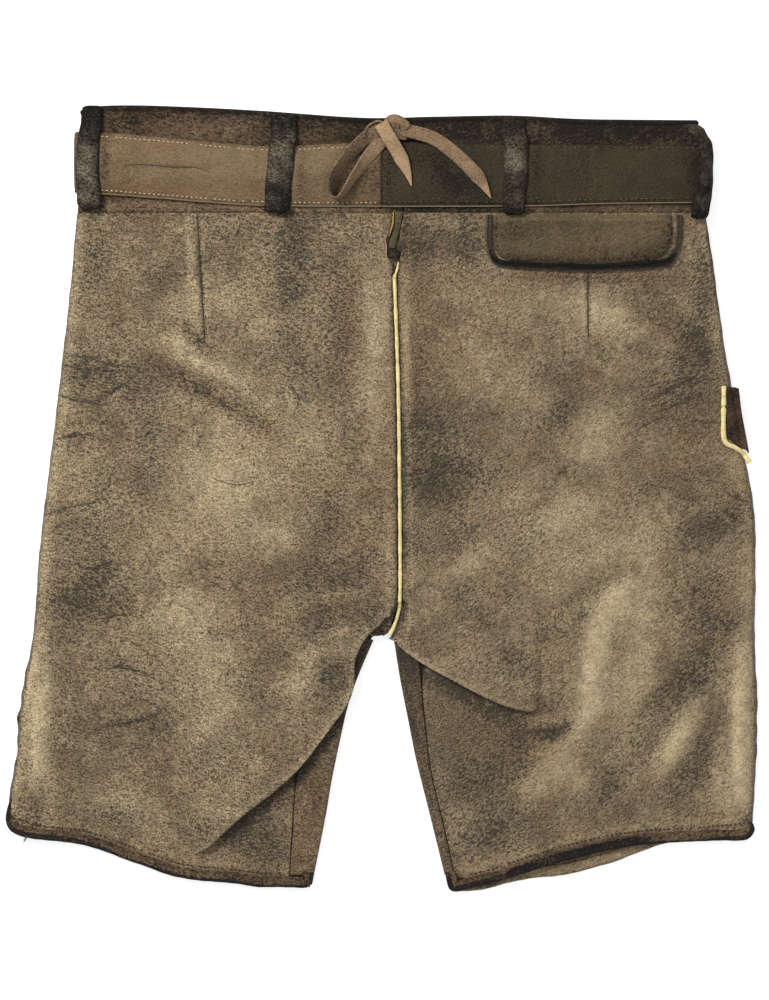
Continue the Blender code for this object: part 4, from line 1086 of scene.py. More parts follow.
beltPaleSpots = [(-120, 246, 40, 8, -4, 0.5), (-60, 240, 30, 9, 0, 0.45), (-190, 250, 16, 7, 0, 0.35),
                 (-30, 240, 20, 16, 0, 0.3), (20, 228, 16, 10, 0, 0.25), (-100, 232, 30, 6, 0, 0.3),
                 (1.5, 236, 2.5, 30, 0, 0.7)]
beltBrownSpots = [(-180, 220, 30, 7, 0, 0.7), (-140, 222, 30, 8, 0, 0.6), (-80, 218, 20, 6, 0, 0.5),
                  (-160, 252, 40, 6, 0, 0.4)]


def beltWearAndShade(x, y, fromTop, fromFoot):
    edge = np.exp(-((fromTop / 1.6) ** 2)) + np.exp(-(((fromFoot - 2.2) / 1.2) ** 2))
    dark = spotMask(beltDarkSpotsAndShadows, x, y) + 0.6 * edge
    return np.clip(dark, 0, 1.2), spotMask(beltPaleSpots, x, y), spotMask(beltBrownSpots, x, y)


beltFinish = {"left": (beltLight, "belt_leather_light"), "right": (beltDark, "belt_leather_dark")}
buckleSide = buckleSize["wide"] / 2 + leather["gap"]
for word, side in waistSides.items():
    name = "belt_" + word
    made, shape = foldedBand(
        name, side, (side["belt"], side["belt"]), beltSeam + side["sign"] * leather["gap"] / 2,
        side["sign"] * buckleSide, (beltTop, beltFoot), leather["gap"] + beltStack["beltThick"],
        beltStack["beltThick"], [beltFinish[word][0], rawEdge], beltShares, beltRelief, beltWearAndShade)
    rowOfFace = np.repeat(np.arange(shape[0] - 1), shape[1] - 1)
    made.data.polygons.foreach_set("material_index", (rowOfFace >= shape[0] - 1 - rawRows).astype(np.int32))
    finishPiece(made, beltFinish[word][1], name)

buckleOutline = roundedOutline(-buckleSize["wide"] / 2, buckleSize["wide"] / 2, buckleSize["low"],
                               buckleSize["high"], buckleSize["corner"], buckleSize["corner"], 10)
buckle = plate("belt_buckle", buckleOutline, 0.0, beltStack["beltThick"], agedMetal, 0.7)
finishPiece(buckle, "buckle_metal", "belt_buckle")
print("waist ready")

# Belt loops

# the edges of each loop: heights, and where its left and right edge is at them; then its grey patch's
# height, half length and strength
loops = [
    {"rows": (206, 214, 240, 258, 281), "left": (-217, -219.4, -219.6, -218, -214.6),
     "right": (-199, -201.5, -202.6, -202, -200), "grey": (232, 20, 0.9), "raw": loopLeather},
    {"rows": (203.6, 240, 275.6), "left": (-84.6, -81.4, -78.6),
     "right": (-66, -62.4, -60), "grey": (242, 17, 0.85), "raw": loopLeather},
    {"rows": (202, 232, 272.6), "left": (87.4, 88.2, 86.6),
     "right": (102.4, 105.8, 104.4), "grey": (243, 11, 1.1), "raw": rawEdge},
    {"rows": (199, 210, 221, 240, 255, 262, 267.6), "left": (222.6, 224, 228, 230.4, 226.6, 221.5, 216.5),
     "right": (235, 238.6, 241.4, 242.4, 239.6, 235.6, 230), "grey": (236, 9, 0.3), "raw": loopLeather},
]
for number, loop in enumerate(loops, 1):
    share = np.concatenate([[0, 0.03, 0.07], np.linspace(0.12, 0.88, 13), [0.93, 0.97, 1]])[None]
    table = np.array([loop["rows"], loop["left"], loop["right"]]).T
    edges = smoothLine(table, 120)
    foot, summit = table[0, 0], table[-1, 0]
    middle = table[:, 1:].mean()
    beltAt = float(edgeHeight(beltTop, middle))
    overBelt = 2 * leather["gap"] + beltStack["beltThick"]
    drop = ease(np.linspace(0, 1, 9))
    dropY = beltAt + 8.6 - 8.0 * np.linspace(0, 1, 9)
    tailY = np.linspace(summit, beltAt + 9.6, 12)
    faceY = np.linspace(beltAt - 0.4, foot, 34)
    yRow = np.concatenate([tailY, dropY, faceY])
    outRow = np.concatenate([np.full(12, leather["gap"]), leather["gap"] + (overBelt - leather["gap"]) * drop,
                             np.full(34, overBelt)])
    y = yRow[:, None] + 0 * share
    leftRow = np.interp(yRow, edges[:, 0], edges[:, 1])
    wideRow = np.interp(yRow, edges[:, 0], edges[:, 2]) - leftRow
    fromSide = np.minimum(share, 1 - share) * wideRow[:, None]
    fromEnd = np.minimum(yRow - foot, summit - yRow)[:, None]
    wave = 0.35 * np.sin(yRow / 8.3 + number) + 0.25 * np.sin(yRow / 3.9 + 2 * number)
    bulge = 0.5 * np.exp(-(((yRow - beltAt - 1.0) / 6.0) ** 2))
    bulge = bulge + 0.6 * np.exp(-(((yRow - foot - 4) / 4.0) ** 2))
    relief = 0.55 * (1 - (2 * share - 1) ** 2) - 0.9 * np.exp(-((fromSide / 0.8) ** 2)) + bulge[:, None]
    relief = relief - 0.8 * np.exp(-((fromEnd / 0.8) ** 2))
    relief = relief + 0.18 * np.sin(yRow[:, None] / 2.6 + 5 * share + number)
    relief = relief - 0.45 * np.exp(-(((share - 0.55 - 0.1 * np.sin(yRow[:, None] / 9)) / 0.09) ** 2))
    x = (leftRow + wave)[:, None] + wideRow[:, None] * share
    # both ends are cut a little round
    y = y + np.where(yRow < 230, 1.0, -1.0)[:, None] * 1.6 * (2 * share - 1) ** 4 * np.exp(-fromEnd / 3)
    out = leather["thick"] + outRow[:, None] + relief
    side = waistSides["left"] if middle < 0 else waistSides["right"]
    past = np.maximum(side["sign"] * x - side["belt"], 0)
    radius = beltStack["bandRadius"] + out
    angle = past / (beltStack["bandRadius"] + overBelt + leather["thick"])
    run = side["sign"] * (np.minimum(side["sign"] * x, side["belt"]) + radius * np.sin(angle))
    z = beltStack["bandMiddle"] + radius * np.cos(angle)
    greyAt, greyHalf, greyShare = loop["grey"]
    dark = 0.3 * np.exp(-((fromSide / 1.6) ** 2)) + 0.5 * ease((y - 262) / 8) + 0.4 * ease((foot + 9 - y) / 8)
    dark = dark + 0.15 * np.sin(y / 7 + number)
    pale = np.exp(-(((share - 0.46) / 0.36) ** 2)) * np.exp(-(((y - greyAt) / greyHalf) ** 4))
    pale = pale * (0.62 + 0.25 * np.sin(y / 3.1 + 4 * share + number)) * greyShare
    made = addGrid(f"belt_loop_{number}", run, y, z, False, [loopLeather, loop["raw"]],
                   (np.clip(dark, 0, 1), pale, 0 * pale))
    finishPiece(made, "loop_leather", f"belt_loop_{number}")
print("loops ready")

# Seat pocket

pocket = {"left": 81.0, "right": 208.5, "top": 202.4, "edgeWide": 5.2}
pocketFoot = [(81, 180), (88, 171.5), (114.5, 169.5), (143, 168.2), (172, 168.6), (198, 171), (208.5, 182)]
pocketEdge = [(77.8, 202.3), (77.6, 182), (83, 169), (100, 166.4), (143, 164.4), (172, 165), (200, 167.3),
              (209, 171), (214, 183), (214.5, 202.3)]

leftSide = smoothLine([(pocket["left"], pocket["top"]), (80.6, 190), pocketFoot[0]], 40)
rightSide = smoothLine([(pocket["right"], pocket["top"]), (209, 190), pocketFoot[-1]], 40)
plan = patch(leftSide, rightSide, between(leftSide[0], rightSide[0], 110), smoothLine(pocketFoot, 110))
x, y = plan[..., 0], plan[..., 1]
edgeAway = np.abs(beside(smoothLine(pocketEdge, 60), x, y)[0])
z = backTop(x, y) + leather["gap"] + leather["thick"] + 0.7 * np.exp(-(((edgeAway - 12) / 6) ** 2))
z = z - 0.7 * np.exp(-(((edgeAway - 4.5) / 2.2) ** 2)) + 0.3 * np.sin(x / 12 + y / 9) * np.sin(x / 29)
dark = spotMask([(98, 192, 18, 10, 0, 0.35), (190, 174, 20, 6, 0, 0.35), (206, 190, 5, 14, 0, 0.3)], x, y)
dark = 0.08 + 0.6 * np.exp(-((edgeAway / 5) ** 2)) + dark
pale = spotMask([(140, 186, 40, 8, 0, 0.4), (110, 178, 24, 6, 0, 0.4), (185, 188, 18, 8, 0, 0.5)], x, y)
pale = pale + 0.7 * ease((y - 196.5) / 2)
made = addGrid("pocket_flap", x, y, z, False, [flapLeather], (np.clip(dark, 0, 1), pale, 0.2 + 0 * pale))
finishPiece(made, "pocket_flap_leather", "pocket_flap")

line = smoothLine(pocketEdge, 150)
high = backTop(line[:, 0], line[:, 1]) + leather["gap"]
route, side, up = upright(line, high + 1.3)
acrossShare = np.linspace(-1, 1, 21)
ridges = 1.15 * np.exp(-(((acrossShare + 0.48) / 0.34) ** 2))
ridges = ridges + 0.9 * np.exp(-(((acrossShare - 0.45) / 0.36) ** 2))
over = np.column_stack([acrossShare * pocket["edgeWide"] / 2, ridges])
under = np.array([(pocket["edgeWide"] / 2 - 0.2, -1.2), (-pocket["edgeWide"] / 2 + 0.2, -1.2)])
swell = 1 + 0.12 * np.sin(line[:, 0] / 5.1) + 0.08 * np.sin(line[:, 0] / 2.3 + line[:, 1] / 3)
low = ease((180 - line[:, 1]) / 12)[:, None]
asideOf = np.concatenate([acrossShare, [0.9, -0.9]])[None]
blackness = 0.1 + 1.1 * low * ease((asideOf + 0.75) / 0.3) + 0.7 * np.exp(-((asideOf / 0.2) ** 2))
# painted highlight along the outer ridge; the sides are paler
paleAndHighlight = 0.55 * np.exp(-(((asideOf + 0.85) / 0.18) ** 2)) * (0.4 + 0.6 * low) + 0.45 * (1 - low)
made = sweep("pocket_edge", route, side, up, np.vstack([over, under]), [weltLeather],
             np.column_stack([(0.85 + 0.2 * swell) * (0.78 + 0.22 * low[:, 0]), swell]),
             (np.clip(blackness, 0, 1.2), paleAndHighlight, 0.3 + 0 * asideOf * low))
finishPiece(made, "dark_binding", "pocket_edge")

# Knife pocket

knife = {"pipingWide": 3.6, "pipingHigh": 2.4}
knifePiping = [(246.5, 79), (246.3, 60), (246.3, 44), (248.6, 37.8), (255, 34.5), (261, 30.5),
               (265.2, 24)]
leftSide = smoothLine([(248.6, 79), (248.6, 60), (249.4, 41.8)], 50)
rightSide = smoothLine([(257.6, 77.5), (259.6, 60), (262.8, 43), (265, 31)], 50)
plan = patch(leftSide, rightSide, between(leftSide[0], rightSide[0], 24),
             between(leftSide[-1], rightSide[-1], 24))
x, y = plan[..., 0], plan[..., 1]
z = backTop(x, y) + 2 * leather["gap"] + leather["thick"]
outside = np.abs(beside(rightSide, x, y)[0])
z = z - 1.6 * (1 - np.clip(outside / 3, 0, 1)) ** 2 + 0.25 * np.sin(y / 5) * np.sin(x / 3)
dark = spotMask([(254, 70, 6, 10, 0, 0.8), (257, 50, 6, 12, 0, 0.6), (250, 44, 4, 6, 0, 0.8)], x, y)
pale = spotMask([(252, 60, 4, 6, 0, 0.6), (258, 38, 4, 6, 0, 0.5)], x, y)
made = addGrid("knife_pocket", x, y, z, False, [knifeLeather], (dark, pale, 0.4 + 0 * pale))
finishPiece(made, "knife_pocket_leather", "knife_pocket")

line = smoothLine(knifePiping, 90)
high = backTop(line[:, 0], line[:, 1]) + 2 * leather["gap"]
route, side, up = upright(line, high + knife["pipingHigh"] / 2)
crack = 1 - 0.55 * np.exp(-(((line[:, 1] - 64) / 0.8) ** 2))
wide = (1 + 0.1 * np.sin(line[:, 1] / 3.1)) * crack
made = sweep("knife_piping", route, side, up, ovalProfile(knife["pipingWide"], knife["pipingHigh"], 14),
             [pipingYellow], np.column_stack([wide, wide]))
finishPiece(made, "piping_leather", "knife_piping")
print("pockets ready")

# Centre piping, notch and hems

line = smoothLine([(12.6, 168.3), (11.6, 163), (9.6, 156.5), (10.0, 148), (12.6, 69), (13.8, -46),
                   (13.2, -78), (10.4, -91), (6.5, -100)], 260)
start = np.linspace(0, 1, 260)
high = backTop(line[:, 0], line[:, 1], False)
route, side, up = upright(line, high - 0.55)
wide = 1 + 0.09 * np.sin(line[:, 1] / 3.3) + 0.06 * np.sin(line[:, 1] / 1.3)
wide = (0.55 + 0.45 * ease(start / 0.045)) * wide
wide = wide * (1 - 0.3 * np.exp(-(((line[:, 1] - 160.5) / 0.9) ** 2)))
made = sweep("centre_piping", route, side, up, ovalProfile(2.7, 2.9, 14), [pipingYellow],
             np.column_stack([wide, 1 + 0.05 * np.sin(line[:, 1] / 2.1)]))
finishPiece(made, "piping_leather", "centre_piping")

tongue = smoothLine([(12.8, 204.5), (12.3, 199), (11.2, 192), (8.9, 184.5), (7.4, 178.6)], 60)
share = np.linspace(0, 1, 60)
route, side, up = upright(tongue, np.full(60, 5.9) - 1.0 * share**2)
wide = 1 - 0.12 * share + 0.03 * np.sin(tongue[:, 1] / 2) + 0.75 * np.exp(-((share / 0.06) ** 2))
made = sweep("notch_tongue", route, side, up, strapProfile(5.2, 1.3, 0.4, 4, 0.35), [notchLeather],
             np.column_stack([wide, np.ones(60)]))
finishPiece(made, "notch_leather", "notch_tongue")

bar = smoothLine([(4.9, 175.6), (7.5, 174.6), (10.6, 174.1), (13.4, 174.9)], 40)
bar = np.column_stack([bar, np.full(40, beltStack["bandHigh"] - 0.1)])
side = np.tile([0.0, 1.0, 0.0], (40, 1))
up = np.tile([0.0, 0.0, 1.0], (40, 1))
fat = np.sqrt(np.clip(1 - (2 * np.linspace(0, 1, 40) - 1) ** 4, 0.04, 1))
fat = fat * (1 + 0.06 * np.sin(np.arange(40) * 1.1))
made = sweep("notch_bar", bar, side, up, ovalProfile(7.6, 3.4, 18), [darkBinding],
             np.column_stack([fat, fat]),
             (np.full((40, 18), 0.95), np.full((40, 18), 0.1), np.zeros((40, 18))))
finishPiece(made, "dark_binding", "notch_bar")

# the bindings turn up round the corners of the legs
cornerLeft = [(-268.8, -217), (-270.4, -226), (-270.2, -234), (-266.2, -241.6), (-257, -245.8)]
cornerRight = [(269.8, -236), (269.2, -241), (266, -245.5), (259, -248)]
endLeft = [(-55, -282.6), (-50, -280.6), (-48.0, -271.5)]
endRight = [(54.5, -285), (48.8, -282.6), (46.0, -271.5)]
hems = {
    "hem_back_left": {"line": cornerLeft + hemLeft[1:-1] + endLeft, "inward": 1, "upper": True},
    "hem_back_right": {"line": cornerRight + hemRight[1:-1] + endRight, "inward": -1, "upper": True},
    "hem_front_left": {"line": hemLeft, "inward": 1, "upper": False},
    "hem_front_right": {"line": hemFrontRight[:-1] + endRight, "inward": -1, "upper": False},
}
for name, hem in hems.items():
    count = 360
    edge = smoothLine(hem["line"], count)
    inward = across(edge) * hem["inward"]
    welted = np.zeros(count)
    if name == "hem_back_right":
        welted = ease((edge[:, 0] - 90) / 6) * ease((214 - edge[:, 0]) / 50)
    ribs = welted * np.sin(edge[:, 0] * 2.2 + np.sin(edge[:, 0]))
    line = edge + inward * hemBinding / 2 + inward * 0.12 * np.sin(edge[:, :1] / 4.7)
    share = np.linspace(-1, 1, 21)
    if hem["upper"]:
        foot = lyingTop(line[:, 0], line[:, 1], False) - leather["thick"] - 0.5
        top = leather["thick"] + 1.1
    else:
        foot = np.zeros(count)
        top = leather["thick"] + leather["gap"]
    # the section: lapped over the panel's foot on the inside, rolled thick along the garment's edge
    outer = share * -hem["inward"]
    arch = top * (1.16 - 0.1 * outer + 0.2 * np.exp(-(((outer - 0.6) / 0.3) ** 2))
                  - 0.75 * np.exp(-(((outer - 1.05) / 0.16) ** 2))
                  - 0.3 * np.exp(-(((outer + 1.03) / 0.1) ** 2)))
    section = np.vstack([np.column_stack([share * hemBinding / 2, arch]),
                         [(hemBinding / 2 - 0.3, 0), (-hemBinding / 2 + 0.3, 0)]])
    route, side, up = upright(line, foot)
    wave = 0.02 * np.sin(edge[:, 0] / 3.7) + 0.015 * np.sin(edge[:, 0] / 1.6)
    rounded = ease((np.arange(count) + 4) / (34 if name == "hem_back_left" else 12))
    rounded = rounded * ease((count + 7 - np.arange(count)) / 10)
    scale = np.column_stack([(1 + wave + 0.06 * welted) * (0.5 + 0.5 * rounded),
                             (1 + wave + 0.25 * welted + 0.12 * ribs) * (0.35 + 0.65 * rounded)])
    rows = np.concatenate([outer, [0.9, -0.9]])[None] + 0 * edge[:, :1]
    black = 0.3 + 0.7 * ease((-190 - edge[:, :1]) / 40)
    if name == "hem_back_right":
        black = ease((130 - edge[:, :1]) / 40)
    black = np.maximum(black, ease((edge[:, :1] - 225) / 30))
    rim = 0.4 - 0.55 * black + 0.1 * np.sin(edge[:, :1] / 17)
    dark = 0.3 + 0.12 * np.sin(edge[:, :1] / 9) + 0.95 * ease((rows - rim) / 0.3)
    dark = np.clip(dark + 1.1 * welted[:, None] * ease((rows + 0.7) / 0.3), 0, 1.25)
    pale = 0.4 * np.exp(-(((rows + 0.2) / 0.45) ** 2)) * (1 - welted[:, None])
    pale = pale * (0.7 + 0.3 * np.sin(edge[:, :1] / 13))
    finish = frontLeather if name == "hem_front_right" else darkBinding
    if finish is frontLeather:
        dark, pale = dark * 0.25, 0.3 + pale * 0.4
    made = sweep(name, route, side, up, section, [finish], scale, (dark, pale, 0.3 + 0 * pale))
    finishPiece(made, "dark_binding", name)
print("trims ready")

# The lace: a bow loop with its short end, the long end, and the knot

lace = {"wide": 10.0, "thick": 1.3}
laceLong = [(12.5, 264.0, 12.6), (17.5, 262.6, 12.2), (26.4, 260.6, 11.6), (34.6, 258.2, 11.3),
            (42.1, 254.4, 11.0), (49.5, 248.9, 10.9), (57.8, 241.8, 10.8), (65.2, 234.4, 10.7),
            (71, 227.8, 10.7), (75.1, 221.2, 10.7), (79, 213.9, 10.7)]
laceBow = [(3.4, 259.0, 11.0), (-3.4, 250.9, 11.2), (-10.8, 241.8, 12.2), (-18.3, 231.1, 13.4),
           (-24.9, 221.2, 14.4), (-29.0, 215.6, 14.9), (-32.6, 213.9, 15.0), (-35.8, 216.6, 15.0),
           (-36.2, 223.6, 14.8), (-32.6, 232.6, 14.6), (-25.7, 241.8, 14.2), (-18.3, 250.3, 13.6),
           (-10.8, 257.2, 13.0), (-4.2, 261.6, 13.2), (1.5, 263.5, 13.6)]
bowTurn = [0, -12, -40, -58, -72, -82, -90, -98, -108, -124, -136, -146, -154, -162, -168]
laceShort = [(-0.1, 267.3, 16.2), (3.6, 261.0, 15.7), (7.8, 253.8, 14.6), (13.9, 243.5, 12.6),
             (18.9, 232.7, 11.2), (22.0, 222.6, 10.6)]


def ribbonFrame(points, turned):
    # along, side and up at each point; turned is the roll about the route, in degrees
    along = np.gradient(points, axis=0)
    along = along / np.linalg.norm(along, axis=1)[:, None]
    flat = np.column_stack([-along[:, 1], along[:, 0], np.zeros(len(points))])
    flat = flat / np.linalg.norm(flat, axis=1)[:, None]
    up = np.cross(along, flat)
    a = np.radians(turned)[:, None]
    return flat * np.cos(a) + up * np.sin(a), up * np.cos(a) - flat * np.sin(a)


def ribbon(name, parts, finish):
    # parts: points, roll, width and tone of each run of the ribbon, joined in one mesh; a tone below 0
    # darkens it, partly as painted shade, and above 0 lightens it
    points, faces, tones, start = [], [], [], 0
    section = strapProfile(lace["wide"], lace["thick"], 0.35, 4, 0.12)
    for route, turned, wide, tone in parts:
        side, up = ribbonFrame(route, turned)
        ripple = 0.12 * np.sin(np.arange(len(route)) / 3.0)
        rings = (route[:, None] + side[:, None] * section[None, :, :1] * wide[:, None, None]
                 + up[:, None] * (section[None, :, 1:] + ripple[:, None, None]))
        points.append(rings.reshape(-1, 3))
        rimmed = 0.35 * np.abs(section[:, 0] / (lace["wide"] / 2)) ** 6
        tones.append((np.interp(np.linspace(0, 1, len(route)), np.linspace(0, 1, len(tone)), tone)[:, None]
                      - rimmed[None]).ravel())
        faces += shifted(ringFaces(len(route), len(section)), start)
        start += rings.shape[0] * rings.shape[1]
    points = np.vstack(points)
    made = addMesh(name, points, faces, [finish])
    tone = np.concatenate(tones) + 0.12 * np.sin(points[:, 0] / 5 + points[:, 1] / 9)
    return paint(made, np.clip(-tone, 0, 1), np.clip(tone, 0, 1), 0.2 + 0 * tone)


def tipped(count, taper, point=0.06):
    return np.concatenate([np.ones(count - taper), np.linspace(1, point, taper)])


longRoute = smoothLine(laceLong, 90)
fineBow = smoothLine(np.column_stack([np.array(laceBow), bowTurn]), 150)
bowRoute, bowRoll = fineBow[:, :3], fineBow[:, 3]
shortRoute = smoothLine(laceShort, 70)

# the last entry of each run is its tone: the strands behind are darkened as painted shade
knotParts = [
    # the curl that stands on edge at the left, the wrap over the top, the strand behind it
    (smoothLine([(-12.6, 257.0, 12.4), (-11.0, 262.0, 13.0), (-7.6, 266.2, 13.2), (-2.8, 268.4, 13.2),
                 (2.4, 267.2, 12.6)], 40), np.full(40, 84.0), np.full(40, 0.72), (-0.4, 0, -0.2)),
    (smoothLine([(3.4, 264.8, 12.8), (6.0, 269.6, 14.4), (9.8, 270.8, 14.6), (14.6, 269.0, 14.0),
                 (19.4, 264.4, 12.6)], 40), np.linspace(8, -14, 40), np.full(40, 0.62), (-0.3, 0.1, -0.5)),
    (smoothLine([(9.2, 270.0, 12.6), (10.4, 265.0, 14.3), (12.0, 260.0, 13.8), (14.0, 256.6, 12.0)], 30),
     np.linspace(-30, -10, 30), np.full(30, 0.6), (-0.3, -0.8)),
    (smoothLine([(5.0, 262.6, 12.0), (9.0, 259.6, 12.8), (13.4, 258.0, 12.8), (18.2, 257.2, 11.6)], 26),
     np.linspace(20, 10, 26), np.full(26, 0.34), (-0.4, -0.8)),
]
knot = ribbon("lace_knot", knotParts, suedeLace)
finishPiece(knot, "lace_suede", "lace_knot")
# the long end: painted shade where it leaves the knot, lighter towards its tip
longTone = (-0.7, -0.1, 0, 0.1, -0.1, -0.3, 0.7)
longEnd = ribbon("lace_long", [(longRoute, np.linspace(-16, 6, 90), tipped(90, 19), longTone)], suedeLace)
finishPiece(longEnd, "lace_suede", "lace_long")
# the bow: painted shade by the knot and round its far turn
bowTone = (-0.5, 0, 0.4, 0.4, 0.2, 0, -0.2, -0.5, -0.4, -0.2, -0.1, -0.2, -0.4)
bowAndShort = ribbon("lace_bow", [
    (bowRoute, bowRoll, np.ones(150), bowTone),
    (shortRoute, np.linspace(10, 0, 70), tipped(70, 28), (1.0, 0.7, 0.9, 0.9)),
], suedeLace)
finishPiece(bowAndShort, "lace_suede", "lace_bow", "lace_short")
print("lace ready")

# Stitches and loose threads


def stitchRow(line, pitch, height, draws=None, missing=0.0):
    # middles, directions and heights of stitches along a plan line
    fine = smoothLine(line, 400)
    length = np.sum(np.linalg.norm(np.diff(fine, axis=0), axis=1))
    count = max(2, int(length / pitch))
    spots = smoothLine(line, count)
    along = np.gradient(spots, axis=0)
    along = along / np.linalg.norm(along, axis=1)[:, None]
    high = height(spots[:, 0], spots[:, 1])
    keep = np.ones(count, bool) if draws is None else draws.random(count) >= missing
    return spots[keep], along[keep], high[keep]


def addStitches(name, rows, long, thick, finish):
    # each stitch is a small closed spindle: five rings of six points
    station = np.array([-1, -0.72, 0, 0.72, 1])
    girth = np.array([0.2, 0.8, 1, 0.8, 0.2])
    turn = np.radians(np.arange(0, 360, 60))
    points, faces, start = [], [], 0
    unit = ringFaces(5, 6)
    for spots, along, high in rows:
        side = np.column_stack([-along[:, 1], along[:, 0]])
        centre = np.column_stack([spots, high])
        forward = np.column_stack([along, np.zeros(len(along))])
        aside = np.column_stack([side, np.zeros(len(side))])
        rings = (centre[:, None, None] + forward[:, None, None] * (station * long / 2)[None, :, None, None]
                 + aside[:, None, None] * (girth[:, None] * np.cos(turn) * thick / 2)[None, :, :, None]
                 + np.array([0, 0, 1.0]) * (girth[:, None] * np.sin(-turn) * thick / 2)[None, :, :, None])
        points.append(rings.reshape(-1, 3))
        for number in range(len(spots)):
            faces += shifted(unit, start + number * 30)
        start += len(spots) * 30
    made = addMesh(name, np.vstack(points), faces, [finish])
    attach(made, "root")
    return made


threadStand = 0.12


def onBelt(x, y):
    relief = beltRelief(x, y, edgeHeight(beltTop, x) - y, y - edgeHeight(beltFoot, x))
    over = beltStack["bandMiddle"] + beltStack["bandRadius"] + leather["gap"] + beltStack["beltThick"]
    return over + relief + threadStand


def onBand(x, y):
    relief = bandRelief(x, y, edgeHeight(bandTop, x) - y, y - edgeHeight(bandFoot, x))
    return beltStack["bandHigh"] + relief + threadStand


def onPanel(x, y):
    return backTop(x, y) + threadStand


def onPocket(lift):
    # heights over the seat pocket's flap
    return lambda x, y: backTop(x, y) + leather["gap"] + leather["thick"] + lift


def alongEdge(table, offset, start, end, count=60):
    x = np.linspace(start, end, count)
    return np.column_stack([x, edgeHeight(table, x) + offset])


draws = np.random.default_rng(7)
addStitches("belt_stitches_light", [
    stitchRow(alongEdge(beltTop, -3.0, -214, -4), 3.3, onBelt, draws, 0.08),
    stitchRow(alongEdge(beltFoot, 2.8, -214, -4), 3.3, onBelt, draws, 0.05),
], 1.7, 0.7, threadCream)
addStitches("belt_stitches_dark", [
    stitchRow(alongEdge(beltTop, -2.2, 40, 228), 3.6, onBelt, draws, 0.35),
    stitchRow(alongEdge(beltFoot, 3.4, 6, 228), 3.6, onBelt, draws, 0.3),
    stitchRow(alongEdge(beltFoot, 6.0, 6, 120), 3.8, onBelt, draws, 0.55),
    stitchRow([(-1.9, 211), (-1.6, 230), (-1.9, 251)], 3.6, onBelt, draws, 0.2),
    stitchRow([(3.0, 211), (3.2, 230), (3.0, 251)], 3.6, onBelt, draws, 0.3),
], 1.7, 0.55, threadOlive)
addStitches("waist_stitches", [
    stitchRow(alongEdge(bandTop, -5.0, -212, 214, 90), 3.6, onBand, draws, 0.15),
], 1.8, 0.55, threadDark)
addStitches("waist_seam_stitches", [
    stitchRow([(-214, 201.4), (-120, 200.6), (-60, 199.6), (4, 200.6)], 3.3, onPanel, draws, 0.2),
    stitchRow([(20, 202.0), (50, 201.4), (77, 201.6)], 3.3, onPanel, draws, 0.3),
    stitchRow([(-213, 209.5), (-120, 207.6), (-60, 206.6), (5, 206)], 3.5, onBand, draws, 0.25),
], 1.8, 0.6, threadBrown)
hemRows = []
for table, inward, low, high in ((hemLeft, 1, -262, -68), (hemRight, -1, 58, 262)):
    edge = smoothLine(table, 120)
    row = edge + across(edge) * inward * (hemBinding + 2.4)
    row = row[(row[:, 0] > low) & (row[:, 0] < high)]
    hemRows.append(stitchRow(row[::4], 3.1, lambda x, y: onPanel(x, y) + 0.6, draws, 0.12))
addStitches("hem_stitches", hemRows, 1.9, 0.95, threadDark)
inside = smoothLine(pocketEdge, 80)
inside = inside + across(inside) * 5.4
inside = inside[inside[:, 1] < 200]
addStitches("pocket_stitches", [
    stitchRow(inside[::4], 3.2, onPocket(0.1), draws, 0.15),
], 2.0, 0.6, threadDark)
addStitches("pocket_top_stitches", [
    stitchRow([(83, 199.2), (145, 198.6), (207, 199.4)], 2.9, onPocket(0.25), draws, 0.2),
], 1.6, 0.6, threadBrown)
addStitches("seat_stitches", [
    stitchRow([(1.6, 166.5), (4.4, 162.5), (7.4, 158.4)], 2.6, onPanel),
    stitchRow([(12.8, 155), (16.4, 158), (19, 163), (21, 168.4)], 2.8, onPanel),
    stitchRow([(-130.6, 203), (-128.4, 160), (-125.2, 112)], 4.0, onPanel, draws, 0.3),
    stitchRow([(151, 163), (150.8, 140), (150.6, 116)], 4.0, onPanel, draws, 0.3),
], 1.5, 0.55, threadDark)
for number, (line, rise, half) in enumerate(darts, 1):
    thread = smoothLine(line, 60)
    route, side, up = upright(thread, onPanel(thread[:, 0], thread[:, 1]) + 0.5)
    thin = np.column_stack([0.5 + 0.5 * np.sin(np.pi * np.linspace(0.1, 0.95, 60)), np.ones(60)])
    made = sweep(f"dart_seam_{number}", route, side, up, ovalProfile(0.7, 0.8, 8), [creaseShade], thin)
    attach(made, "root")


def fineLine(name, lines, wide, finish, height):
    # thin strips that follow the surface, pointed at both ends: crease bottoms, raw edges, loose threads
    points, faces, start = [], [], 0
    section = ovalProfile(wide, wide * 0.8, 8)
    for line in lines:
        route = smoothLine(line, 12 * len(line))
        high = height(route[:, 0], route[:, 1]) if route.shape[1] == 2 else route[:, 2]
        route, side, up = upright(route, high)
        thin = 0.15 + 0.85 * np.sin(np.pi * np.linspace(0.02, 0.98, len(route)))
        thin = thin * (1 + 0.2 * np.sin(np.arange(len(route)) * 0.9))
        rings = sectionRings(route, side, up, section, np.column_stack([thin, np.ones(len(thin))]))
        points.append(rings.reshape(-1, 3))
        faces += shifted(ringFaces(len(route), len(section)), start)
        start += rings.shape[0] * rings.shape[1]
    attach(addMesh(name, np.vstack(points), faces, [finish]), "root")


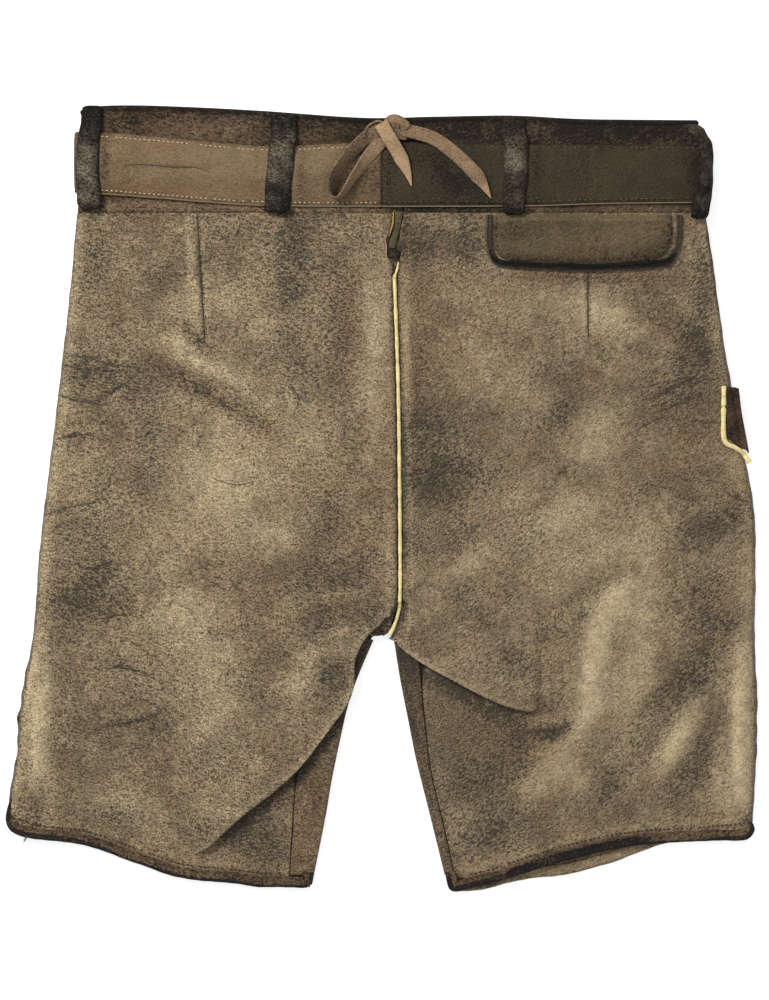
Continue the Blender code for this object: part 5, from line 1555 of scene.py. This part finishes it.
fineLine("crease_lines", [line for line, rise, half in creases], 0.6, creaseShade,
         lambda x, y: backTop(x, y) + 0.15)
beltCrack = [(-185, 237.8), (-173, 238.4), (-160, 237.4), (-147, 236.2), (-135, 236.4), (-124, 233.7)]
fineLine("belt_crease", [beltCrack], 0.9, creaseShade, onBelt)
fineLine("notch_raw_edge", [[(9.3, 206.2), (8.7, 200), (8.5, 195.8), (6.7, 189.6), (5.8, 187)]],
         1.3, rawOchre, lambda x, y: backTop(x, y) + 0.5)
fineLine("notch_pink_edge", [[(2.6, 186.2), (3.7, 179.6), (3.7, 173.9), (5, 170)]], 1.3, rawPink,
         lambda x, y: backTop(x, y) + 0.4)
fineLine("hem_loose_thread", [[(-254.6, -243.2, 4.4), (-256.0, -246.4, 3.2), (-258.0, -250.4, 1.6)]],
         1.5, threadPale, None)
print("stitches ready")

# Floor and light

stageSet = {"floorSide": 6.0, "floorHeight": -0.0004, "keyPower": 86.0, "fillPower": 22.0,
            "worldStrength": 0.5}
floorMesh = bpy.data.meshes.new("floor")
half = stageSet["floorSide"] / 2
corners = [(-half, -half), (half, -half), (half, half), (-half, half)]
floorMesh.from_pydata([(x, y, stageSet["floorHeight"]) for x, y in corners], [], [(0, 1, 2, 3)])
floorFinish = bpy.data.materials.new("floor")
floorFinish.use_nodes = True
for label, value in {"Base Color": (0.6, 0.6, 0.6, 1), "Roughness": 0.9, "Emission Color": (1, 1, 1, 1),
                     "Emission Strength": 0.62}.items():
    floorFinish.node_tree.nodes["Principled BSDF"].inputs[label].default_value = value
floorMesh.materials.append(floorFinish)
floor = bpy.data.objects.new("floor", floorMesh)
bpy.context.scene.collection.objects.link(floor)


def addLight(name, spotAt, size, power, colour):
    data = bpy.data.lights.new(name, "AREA")
    data.shape = "DISK"
    data.size = size
    data.energy = power
    data.color = colour
    made = bpy.data.objects.new(name, data)
    made.location = spotAt
    made.rotation_euler = (-made.location).to_track_quat("-Z", "Y").to_euler()
    bpy.context.scene.collection.objects.link(made)
    return made


addLight("key", (-1.5, 1.5, 1.9), 0.9, stageSet["keyPower"], (1.0, 0.98, 0.95))
addLight("fill", (1.2, -0.6, 2.9), 2.2, stageSet["fillPower"], (0.96, 0.98, 1.0))
world = bpy.data.worlds.new("world")
world.use_nodes = True
world.node_tree.nodes["Background"].inputs["Color"].default_value = (1, 1, 1, 1)
world.node_tree.nodes["Background"].inputs["Strength"].default_value = stageSet["worldStrength"]
bpy.context.scene.world = world
bpy.context.scene.view_settings.view_transform = "Standard"
print("stage ready")
